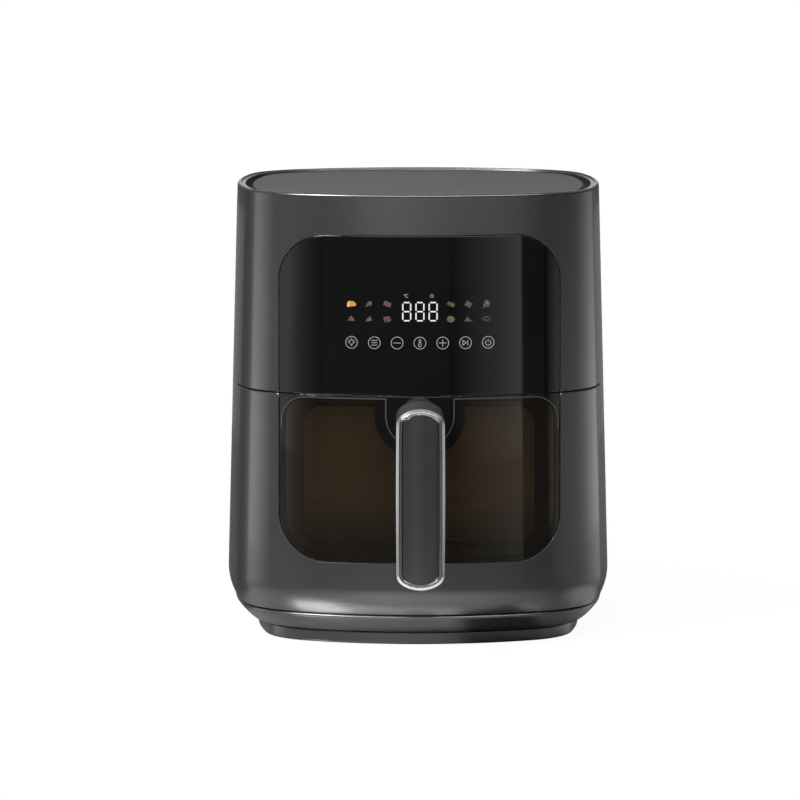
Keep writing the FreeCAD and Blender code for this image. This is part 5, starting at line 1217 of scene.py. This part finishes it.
deck_in = float(draw_in(BASE_TOP)) + SKIN_WALL
deck_run = float(plan.run_at_y(DECK_BACK, deck_in))
deck_loop = plan.at(np.linspace(-deck_run, deck_run, DECK_POINTS), deck_in)[0]
deck_loops = [np.column_stack([deck_loop, np.full(DECK_POINTS, z)]) for z in (DECK_TOP, DECK_UNDER)]
deck_points, deck_faces = stacked(deck_loops)
make("drawer_deck", (deck_points, deck_faces, np.zeros_like(deck_points), 0), "black_moulding", "housing")

# %% [markdown]
# ## Top: ring, air inlet and cover
# Inside the rim a ring carries a sunken groove where cooling air goes in between ribs, and the cover
# plate lies in the middle. The ring and cover are swept, because they run all the way round at one
# section. The ribs repeat at one pitch, so they are one rounded block set on marks.

# %% The ring, its groove and the cover

TOP_LEVEL = 322.0
TOP_IN = float(draw_in(TOP_LEVEL))
RING_OUT, GROOVE_OUT, GROOVE_IN, LIP_IN = (TOP_IN + step for step in (2.75, 6.2, 11.4, 14.4))
GROOVE_FLOOR, RING_FOOT, RING_TOP, LIP_TOP = 317.2, 316.0, 325.7, 323.1
ring_section = section(
    [
        (RING_OUT, RING_FOOT),
        (RING_OUT, RING_TOP, 0.5),
        (GROOVE_OUT, RING_TOP, 0.8),
        (GROOVE_OUT, GROOVE_FLOOR),
        (GROOVE_IN, GROOVE_FLOOR),
        (GROOVE_IN, LIP_TOP),
        (LIP_IN, LIP_TOP),
        (LIP_IN, RING_FOOT),
    ]
)
ring = sweep("top_ring", outline, ring_section, finishes["shell"])
settle(ring, "housing", "top_inlet_ring")

COVER_IN, COVER_TOP = 19.8, 324.9
cover_edge = [(COVER_IN, COVER_TOP, 1.0), (COVER_IN, LIP_TOP, 0.2)]
cover_section = section([(FLOOR_INSET, COVER_TOP), *cover_edge, (FLOOR_INSET, LIP_TOP)])
top_tones = (0.06, 0.058, 0.054), (0.086, 0.083, 0.078)
top_grain = moulded("fine_grained_top", *top_tones, rough=0.5, metallic=0.6, grain=1500.0, bump=0.25)
cover = sweep("top_plate", outline, cover_section, top_grain, open_profile=True)
settle(cover, "housing", "top_cover")

# %% Ribs in the air inlet, and its closed sides

INLET_PITCH, INLET_SLOTS, INLET_SLOT, INLET_TOP, RIB_BEVEL = 9.0, 19, 3.0, 319.5, 0.4
GROOVE_MIDDLE, GROOVE_WIDE = (GROOVE_OUT + GROOVE_IN) / 2, GROOVE_IN - GROOVE_OUT
RIB_LEVEL, RIB_TALL = (GROOVE_FLOOR + INLET_TOP) / 2, INLET_TOP - GROOVE_FLOOR
SIDE_POINTS = 90


def small_block(name, x, y, z, bevel):
    """A block about the origin with softened edges, in millimetres."""
    shape = bmesh.new()
    bmesh.ops.create_cube(shape, size=1.0)
    bmesh.ops.scale(shape, vec=(x * MM, y * MM, z * MM), verts=shape.verts)
    bmesh.ops.bevel(shape, geom=shape.edges[:], offset=bevel * MM, segments=2, profile=0.5, affect="EDGES")
    block = new_object(name, bpy.data.meshes.new(name))
    shape.to_mesh(block.data)
    shape.free()
    return block


rib_places = []
for k in range(INLET_SLOTS - 1):
    run = float(plan.run_at_x((k - (INLET_SLOTS - 2) / 2) * INLET_PITCH, GROOVE_MIDDLE))
    for where in (run, plan.half - run):
        (x, y), out, _ = plan.at(where, GROOVE_MIDDLE)
        rib_places.append((x, y, RIB_LEVEL, 0.0, 0.0, math.atan2(out[0], -out[1])))
rib = small_block("rib", INLET_PITCH - INLET_SLOT, GROOVE_WIDE, RIB_TALL, RIB_BEVEL)
ribs = set_on("inlet_ribs", rib, rib_places, finishes["black_moulding"])
settle(ribs, "housing")

last_slot = (INLET_SLOTS - 1) / 2 * INLET_PITCH + INLET_SLOT / 2
closed_from = float(plan.run_at_x(last_slot, GROOVE_MIDDLE))
strip_outer = [(GROOVE_OUT, GROOVE_FLOOR), (GROOVE_OUT, INLET_TOP)]
side_section = section([*strip_outer, (GROOVE_IN, INLET_TOP), (GROOVE_IN, GROOVE_FLOOR)])
for label, sign in (("right", 1), ("left", -1)):
    runs = np.linspace(sign * closed_from, sign * (plan.half - closed_from), SIDE_POINTS)
    side_path = plan.at(runs[::sign])[0]
    strip = sweep("inlet_floor_" + label, side_path, side_section, finishes["black_moulding"], closed=False)
    settle(strip, "housing")

# %% [markdown]
# ## Back: air outlet
# Hot air leaves through a framed grille that stands off the back. Slots cut into a block would have sharp
# edges, so the frame is one rounded section carried round a rounded rectangle, and its louvres are one
# tilted slat set on marks.

# %% The outlet's frame and louvres

VENT_HALF, VENT_LOW, VENT_HIGH, VENT_ROUND = 50.0, 132.0, 188.0, 5.0
VENT_FACE, VENT_ROOT, VENT_BORDER = 158.0, 136.0, 8.5
FLAT_TO_BACK = Matrix(((-1, 0, 0, 0), (0, 0, 1, 0), (0, 1, 0, 0), (0, 0, 0, 1)))
side_x, low_z, high_z = VENT_HALF - VENT_ROUND, VENT_LOW + VENT_ROUND, VENT_HIGH - VENT_ROUND
right_corners = [(side_x, low_z, -90.0), (side_x, high_z, 0.0)]
left_corners = [(-side_x, high_z, 90.0), (-side_x, low_z, 180.0)]
vent_path = []
for x, z, start in right_corners + left_corners:
    vent_path += list(ring_path(x, z, VENT_ROUND, start=start, stop=start + 90.0, steps=8))
vent_front = [(0.0, VENT_FACE, 1.6), (VENT_BORDER, VENT_FACE, 1.0)]
vent_section = section([(0.0, VENT_ROOT), *vent_front, (VENT_BORDER, VENT_ROOT)])
outlet = sweep("outlet_frame", vent_path, vent_section, finishes["black_moulding"], turn=FLAT_TO_BACK)
settle(outlet, "housing", "rear_vent")

SLAT_LAP, SLAT_THICK, SLAT_TALL, SLAT_BEVEL = 0.6, 2.0, 5.4, 0.5
SLAT_Y, SLAT_TILT, SLAT_LEVELS = 154.2, math.radians(-38.0), (144.0, 152.0, 160.0, 168.0, 176.0)
slat = small_block("slat", 2 * (VENT_HALF - VENT_BORDER) + SLAT_LAP, SLAT_THICK, SLAT_TALL, SLAT_BEVEL)
slat_places = [(0.0, SLAT_Y, z, SLAT_TILT, 0.0, 0.0) for z in SLAT_LEVELS]
slats = set_on("outlet_louvres", slat, slat_places, finishes["black_moulding"])
settle(slats, "housing")

# %% [markdown]
# ## Handle
# A bar in dark moulding ends in a crowned cover inside a bright ring. The ring is swept round the
# handle's own oval, which keeps its groove even. The cover could be a flat plate, but the real one has a
# slight crown that shows as a soft streak, so it is rows across a shallow cylinder with a rolled edge.

# %% The bright ring

HANDLE_MIDDLE, TRIM_FRONT, HANDLE_ROUND = 114.5, 199.6, 240
handle = Oval(half_x=17.35, half_y=64.5, side_bow=5000.0, end_bow=24.0, corner=9.0)
FLAT_TO_FRONT = Matrix.Rotation(math.pi / 2, 4, "X")
# Each corner is how far in from the outline, how far back from the front, and its round if it has one.
trim_outer = [(0.0, 3.5), (0.0, 2.2, 0.4), (2.0, 0.0, 0.3), (2.05, 0.0)]
trim_inner = [(2.05, 3.0), (3.0, 3.0), (3.0, 0.9), (3.4, 0.5, 0.1), (3.9, 0.6, 0.1), (3.9, 3.5)]
trim_section = section([(inset, TRIM_FRONT - back, *size) for inset, back, *size in trim_outer + trim_inner])
handle_runs = np.linspace(-handle.half, handle.half, HANDLE_ROUND + 1)[:-1]
trim_path = handle.at(handle_runs)[0] + (0.0, HANDLE_MIDDLE)
trim = sweep("handle_ring", trim_path, trim_section, finishes["bright_trim"], turn=FLAT_TO_FRONT)
settle(trim, "drawer", "handle_trim")

# %% The crowned cover

HANDLE_FRONT, CROWN = -201.0, 29.0
COVER_GAP, COVER_ROLL, COVER_WALL = 4.1, 0.7, 2.4
COVER_END, COVER_ROWS, COVER_COLUMNS = 1.2, 90, 18


def crown(spots, depth=0.0):
    """The cover's face: a cylinder about an upright axis behind the handle's front."""
    x, z = spots[:, 0], spots[:, 1]
    away = np.sqrt(CROWN**2 - x**2)
    normal = np.column_stack([x, -away, np.zeros_like(x)]) / CROWN
    along = np.column_stack([away, x, np.zeros_like(x)]) / CROWN
    place = np.column_stack([x, HANDLE_FRONT + CROWN - away, z]) - normal * np.reshape(depth, (-1, 1))
    return place, normal, along, np.cross(normal, along)


edge_runs = np.linspace(COVER_END, handle.half - COVER_END, COVER_ROWS)
edge = handle.at(edge_runs, COVER_GAP)[0]
face_patch = rows_between(edge[:, 1] + HANDLE_MIDDLE, edge[:, 0], COVER_COLUMNS)
face = plate(crown, *face_patch, COVER_WALL, COVER_ROLL)
make("handle_face", face, "handle_cover", "drawer", "handle_insert")

# %% [markdown]
# ## Key rings and plinth screws
# Seven thin rings frame the keys, and four screws hold the plinth from below. Both repeat, so each is one
# small mesh set on marks: the rings' marks follow the bow of the lens, and the screws' lie under the
# plinth, each with a low dome and a star recess.

# %% Key rings on marks

RING_STEPS = 36


def flat_ring(name, radius, width, proud, sunk):
    """A thin flat ring that faces -y, in millimetres."""
    turns = np.linspace(0.0, 2 * math.pi, RING_STEPS + 1)[:-1]
    outer, inner = radius + width / 2, radius - width / 2
    loops = []
    for r, y in ((inner, sunk), (inner, -proud), (outer, -proud), (outer, sunk)):
        loops.append(np.column_stack([r * np.cos(turns), np.full(RING_STEPS, y), r * np.sin(turns)]))
    points, faces = stacked(loops, closed=True)
    return new_object(name, new_mesh(name, (points * MM).tolist(), faces))


key_places = []
for x in KEY_X:
    place, normal, _, _ = (rows[0] for rows in skin(on_skin([(x, KEY_LEVEL)])))
    key_places.append((*place, -math.asin(normal[2]), 0.0, math.atan2(normal[0], -normal[1])))
key_ring = flat_ring("key_ring", KEY_RING, FINE, MARK_PROUD, MARK_SUNK)
rings = set_on("key_rings", key_ring, key_places, lit_key)
settle(rings, "housing")

# %% Plinth screws on marks

SCREW_RADIUS, SCREW_HEIGHT, SCREW_ROOT, SCREW_STEPS = 4.0, 0.9, 0.6, 24
SCREW_X, SCREW_Y, SCREW_TURN, SCREW_LEVEL = 95.0, 78.0, 0.4, PLINTH_FOOT + 0.7
STAR_WIDE, STAR_NARROW, STAR_FLOOR, STAR_DEPTH = 0.5, 0.3, 0.85, 0.9


def screw_head(name):
    """A low dome with a star recess, facing down, in millimetres."""
    steps, height = SCREW_STEPS, SCREW_HEIGHT
    turns = np.linspace(0.0, 2 * math.pi, steps + 1)[:-1]
    star = np.where(np.arange(steps) % 4 < 2, STAR_WIDE, STAR_NARROW)
    rows = [(1.0, SCREW_ROOT), (1.0, -0.4 * height), (0.82, -0.85 * height), (0.6, -height)]
    rows += [(star, -height), (star * STAR_FLOOR, -height + STAR_DEPTH)]
    loops = []
    for share, z in rows:
        r = SCREW_RADIUS * share
        loops.append(np.column_stack([r * np.cos(turns), r * np.sin(turns), np.full(steps, z)]))
    points, faces = stacked(loops)
    return new_object(name, new_mesh(name, (points * MM).tolist(), faces))


screw_places = []
for across in (-1, 1):
    for along in (-1, 1):
        turn = across * SCREW_TURN
        screw_places.append((across * SCREW_X, along * SCREW_Y, SCREW_LEVEL, 0.0, 0.0, turn))
screws = set_on("plinth_screws", screw_head("screw"), screw_places, finishes["wire_steel"])
settle(screws, "housing", "base_screws")

# %% [markdown]
# ## Inner solids keep their shape
# Everything else is right as it was packed: pan, liner, heater, fans, motor and boards. Each takes the
# finish of its own slot. The lamp's lens gets a faint warm glow, the handle's neck a satin grain, and the
# window's frame a dull black.

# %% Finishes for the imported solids

NECK_GRAIN = {"grain": 30.0, "stretch": (1.0, 60.0, 60.0), "Specular IOR Level": 0.25}
special = {
    "lamp_lens": glowing("warm_lamp", (1.0, 0.72, 0.42), (0.9, 0.6, 0.32), strength=1.2),
    "handle_core": moulded("satin_neck", 0.012, 0.02, rough=0.5, **NECK_GRAIN),
    "window_frame": moulded("window_mask_black", 0.003, 0.006, rough=0.7, **{"Specular IOR Level": 0.15}),
}
shown = 0
for name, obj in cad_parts.items():
    if obj.hide_render:
        continue
    for holder in obj.material_slots:
        holder.material = special.get(name) or finishes[holder.material.name.split(".")[0]]
    shown += 1
print(shown, "packed solids dressed")

# %% [markdown]
# ## Studio
# The picture is a packshot: white all round, with long soft streaks down the corners of a dark, satin
# body. Two soft lights hang in front and above, and curved cards that the camera doesn't see draw the
# streaks. Floor and world are white to the camera and through glass, and a mirror finds the same white
# where it looks at the backdrop inside the frame. To everything else the room is dim, because light from
# all round would wash the finish out. The floor keeps a faint shadow under the body.

# %% Which rays find white

BACKDROP_EDGE, BACKDROP_WHOLE = 0.9877, 0.9969
SHADE_SOFT = 0.015


def beyond(spot, centre, near, far):
    """Nought near a place on the floor, one away from it."""
    moved = spot.node("Mapping", inputs={"Vector": spot, "Location": [-c for c in centre]})
    return spot.node("VectorMath", {"operation": "LENGTH"}, {0: moved}, out="Value").eased(near, far)


def past(spot, axis, level):
    """Nought before a level along one axis of the floor, one soon after it."""
    limits = {"Value": spot.axis(axis), "From Min": level, "From Max": level + SHADE_SOFT}
    return spot.node("MapRange", inputs=limits, out="Result")


def rays(start, kind):
    """One for light of one kind, such as what the camera or a mirror sees, else nought."""
    return start.node("LightPath", out=f"Is {kind} Ray")


def in_frame(direction):
    """One for a mirrored ray towards the backdrop that the camera's frame takes in, else nought."""
    level = direction.node("VectorMath", {"operation": "NORMALIZE"}, {0: direction}).axis("Y")
    return rays(direction, "Glossy") * level.eased(BACKDROP_EDGE, BACKDROP_WHOLE)


def finds_white(mirrored):
    """One for rays that find white: the camera's, those through glass, and mirrored ones by their share."""
    return rays(mirrored, "Camera").math("MAXIMUM", rays(mirrored, "Transmission")).math("MAXIMUM", mirrored)


half_turns = [round(math.degrees(math.acos(cosine)), 1) for cosine in (BACKDROP_EDGE, BACKDROP_WHOLE)]
print("mirrors find white within", half_turns, "degrees of straight back")

# %% Floor

# Mirrors see the floor with painted light: a pale pool painted round the front and pale pools at the sides,
# which the foot reflects as painted highlights, and dark floor beyond.
POOL, POOL_NEAR, POOL_FAR, POOL_TONE = (-0.02, -0.18, 0.0), 0.03, 0.3, 0.55
RIGHT_POOL, LEFT_POOL, SIDE_NEAR, SIDE_FAR = (0.2, -0.04, 0.0), (-0.2, -0.08, 0.0), 0.04, 0.1
SIDE_TONE, FAR_TONE, LEFT_SHARE = 0.8, 0.02, 0.5
# Right of the front the floor is painted dark: a painted shadow that the base shows as a dark reflection.
SHADE_LEFT, SHADE_RIGHT, SHADE_FRONT, SHADE_SHARE, SHADE_TONE = 0.027, 0.085, -0.148, 0.95, 0.05
SHADOW_MIDDLE, SHADOW_NEAR, SHADOW_FAR, SHADOW_SHARE, SHADOW_TONE = (0.0, 0.02, 0.0), 0.16, 0.4, 0.05, 0.85
BACKDROP_FROM, FLOOR_REACH, FLOOR_LEVEL = 1.35, 14.0, -0.0002

floor_finish, start = new_finish("white_floor")
spot = start.node("TexCoord", out="Object")
# Painted pools of light beside the body; the left one is half as strong as the right.
by_left = (1 - LEFT_SHARE) + beyond(spot, LEFT_POOL, SIDE_NEAR, SIDE_FAR) * LEFT_SHARE
beside = beyond(spot, RIGHT_POOL, SIDE_NEAR, SIDE_FAR).math("MINIMUM", by_left)
painted_side_pool_tone = beside.colours(tone(SIDE_TONE), tone(FAR_TONE))
painted_pool_tone = beyond(spot, POOL, POOL_NEAR, POOL_FAR).colours(tone(POOL_TONE), painted_side_pool_tone)
polished = start.node("BsdfPrincipled", inputs={"Base Color": painted_pool_tone, "Roughness": 0.12, "IOR": 2.6})
# Painted shadow: a dark matt sheet mixed into the floor where the mask is one.
painted_dark_patch = start.node("BsdfDiffuse", inputs={"Color": tone(SHADE_TONE)})
shade = past(spot, "X", SHADE_LEFT) * (1 - past(spot, "X", SHADE_RIGHT)) * past(spot, "Y", SHADE_FRONT)
table = (shade * SHADE_SHARE).shaders(polished, painted_dark_patch)

white = start.node("Emission", inputs={"Color": tone(1.0), "Strength": 1.0})
matt = start.node("BsdfDiffuse", inputs={"Color": tone(SHADOW_TONE)})
off_shadow = beyond(spot, SHADOW_MIDDLE, SHADOW_NEAR, SHADOW_FAR)
backdrop = ((1 - SHADOW_SHARE) + off_shadow * SHADOW_SHARE).shaders(matt, white)
mirrored = in_frame(spot) * past(spot, "Y", BACKDROP_FROM)
finds_white(mirrored).shaders(table, backdrop).shown()

ways = ((-1, -1), (1, -1), (1, 1), (-1, 1))
corners = [(x * FLOOR_REACH, y * FLOOR_REACH, FLOOR_LEVEL) for x, y in ways]
floor_mesh = new_mesh("floor", corners, [(0, 1, 2, 3)])
floor_mesh.materials.append(floor_finish)
floor = new_object("floor", floor_mesh)
floor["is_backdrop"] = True
print("floor of", len(floor_finish.node_tree.nodes), "nodes,", 2 * FLOOR_REACH, "m across")

# %% World

ROOM_DIM, ROOM_ABOVE, ROOM_BEHIND, BEHIND_FROM, BEHIND_TO = 0.015, 0.35, 0.08, -0.1, 0.3
world = bpy.data.worlds.new("studio")
scene.world = world
world.use_nodes = True
world.node_tree.nodes.clear()
start = Wire(world.node_tree)
direction = start.node("TexCoord", out="Generated")
above = direction.axis("Z").math("MAXIMUM", 0.0)
behind = direction.axis("Y").eased(BEHIND_FROM, BEHIND_TO)
room = ROOM_DIM + above * ROOM_ABOVE + behind * ROOM_BEHIND
seen = finds_white(in_frame(direction))
sky = start.node("Background", inputs={"Color": seen + (1 - seen) * room, "Strength": 1.0})
sky.node("OutputWorld", inputs={"Surface": sky})
print("world of", len(world.node_tree.nodes), "nodes")

# %% Cards

CARD_STEPS = 24


def card(name, angles, levels, profile, head=1.0, away=0.72):
    """An upright curved card round the object; its glow follows a profile from edge to edge."""
    turns = np.radians(np.linspace(*angles, CARD_STEPS + 1))
    across = np.linspace(0.0, 1.0, CARD_STEPS + 1)
    glow = np.interp(across, np.linspace(0.0, 1.0, len(profile)), profile)
    ring = np.column_stack([away * np.sin(turns), -away * np.cos(turns)])
    points = [(x, y, z) for z in levels for x, y in ring]
    width = CARD_STEPS + 1
    mesh = new_mesh(name, points, [(i, i + 1, width + 1 + i, width + i) for i in range(CARD_STEPS)])
    mesh.attributes.new("glow", "FLOAT", "POINT")
    mesh.attributes["glow"].data.foreach_set("value", [*glow, *glow * head])
    finish, start = new_finish(name + "_light")
    level = start.node("Attribute", {"attribute_name": "glow"}, out="Fac")
    start.node("Emission", inputs={"Color": level, "Strength": 1.0}).shown()
    mesh.materials.append(finish)
    obj = new_object(name, mesh)
    obj.visible_camera = False
    obj.visible_shadow = False
    obj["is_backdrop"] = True
    print(f"{name}: {width} columns, {glow.min():.2f} to {glow.max():.2f}")


# Angles are degrees round the object from its front, levels and distances away are metres, and head is
# the share of the glow that is left at a card's top.
RIGHT_GLOW = (0.0, 0.4, 0.5, 0.5, 0.85, 1.2, 1.15, 0.9)
FRONT_LEFT_GLOW = (0.0, 0.08, 0.22, 0.35, 0.37, 0.36, 0.35, 0.33)
OVER_GLOW = (0.5, 0.9, 1.2, 1.5, 1.7, 2.2, 3.0, 3.2)
card("card_left", (-77.0, -111.0), levels=(0.0, 0.7), profile=(0.5, 1.05, 1.6, 2.0, 2.1), head=0.0)
card("card_right", (50.0, 141.0), levels=(0.0, 0.5), profile=RIGHT_GLOW, head=0.0)
card("card_front_left", (-38.0, -80.0), levels=(0.0, 0.3), profile=FRONT_LEFT_GLOW, away=2.0)
card("card_front_right", (12.0, 41.0), levels=(0.0, 0.3), profile=(0.0, 0.1, 0.2, 0.36), away=2.0)
card("card_back", (152.0, 208.0), levels=(0.0, 0.22), profile=(0.2, 0.3, 0.35, 0.3, 0.2), away=1.3)
card("card_over_camera", (52.0, -23.0), levels=(0.42, 1.3), profile=OVER_GLOW, away=1.9)

# %% Lamps


def lamp(name, place, aim, size, power):
    """A rectangular soft light aimed at a point."""
    data = bpy.data.lights.new(name, "AREA")
    data.shape = "RECTANGLE"
    data.size, data.size_y = size
    data.energy = power
    obj = new_object(name, data)
    away = np.array(place) - np.array(aim)
    tilt = math.acos(away[2] / np.linalg.norm(away))
    obj.location = place
    obj.rotation_euler = (tilt, 0.0, math.atan2(away[1], away[0]) + math.pi / 2)
    obj.visible_camera = False
    print(f"{name}: {power} W, tilted {math.degrees(tilt):.0f} degrees")


lamp("key_light", (-1.17, -1.02, 1.6), aim=(0.0, 0.0, 0.1), size=(0.6, 0.9), power=76.0)
lamp("strip_light", (0.25, -1.15, 1.65), aim=(0.0, 0.0, 0.15), size=(2.2, 0.5), power=34.0)

# %% [markdown]
# ## Camera
# A packshot is taken from far away through a long lens, a little from above, so that upright edges stay
# almost parallel. The place and the turns were fitted to the seams, the rim and the foot.

# %% Camera

FOCAL, SENSOR, SEES_TO = 248.2, 36.0, 60.0
VIEW_PLACE, VIEW_DOWN, VIEW_TURN = (-0.038, -4.0385, 0.6206), 6.423, -0.348
camera = bpy.data.cameras.new("camera")
camera.lens, camera.sensor_width = FOCAL, SENSOR
camera.clip_end = SEES_TO
viewer = new_object("camera", camera)
viewer.location = VIEW_PLACE
viewer.rotation_euler = (math.radians(90.0 - VIEW_DOWN), 0.0, math.radians(VIEW_TURN))
scene.camera = viewer
print("camera takes in", round(math.degrees(camera.angle), 1), "degrees")

# %% [markdown]
# ## Sizes
# Dressing must not change the object's size, so the box of the solids and the box of the dressed part are
# kept side by side.

# %% Sizes of the solids and of the dressed part

dressed_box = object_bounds()
for end, dressed, solid in zip(("lowest", "highest"), dressed_box, solid_box):
    print(end, "corner moved by", [round((a - b) / MM, 2) for a, b in zip(dressed, solid)], "mm")
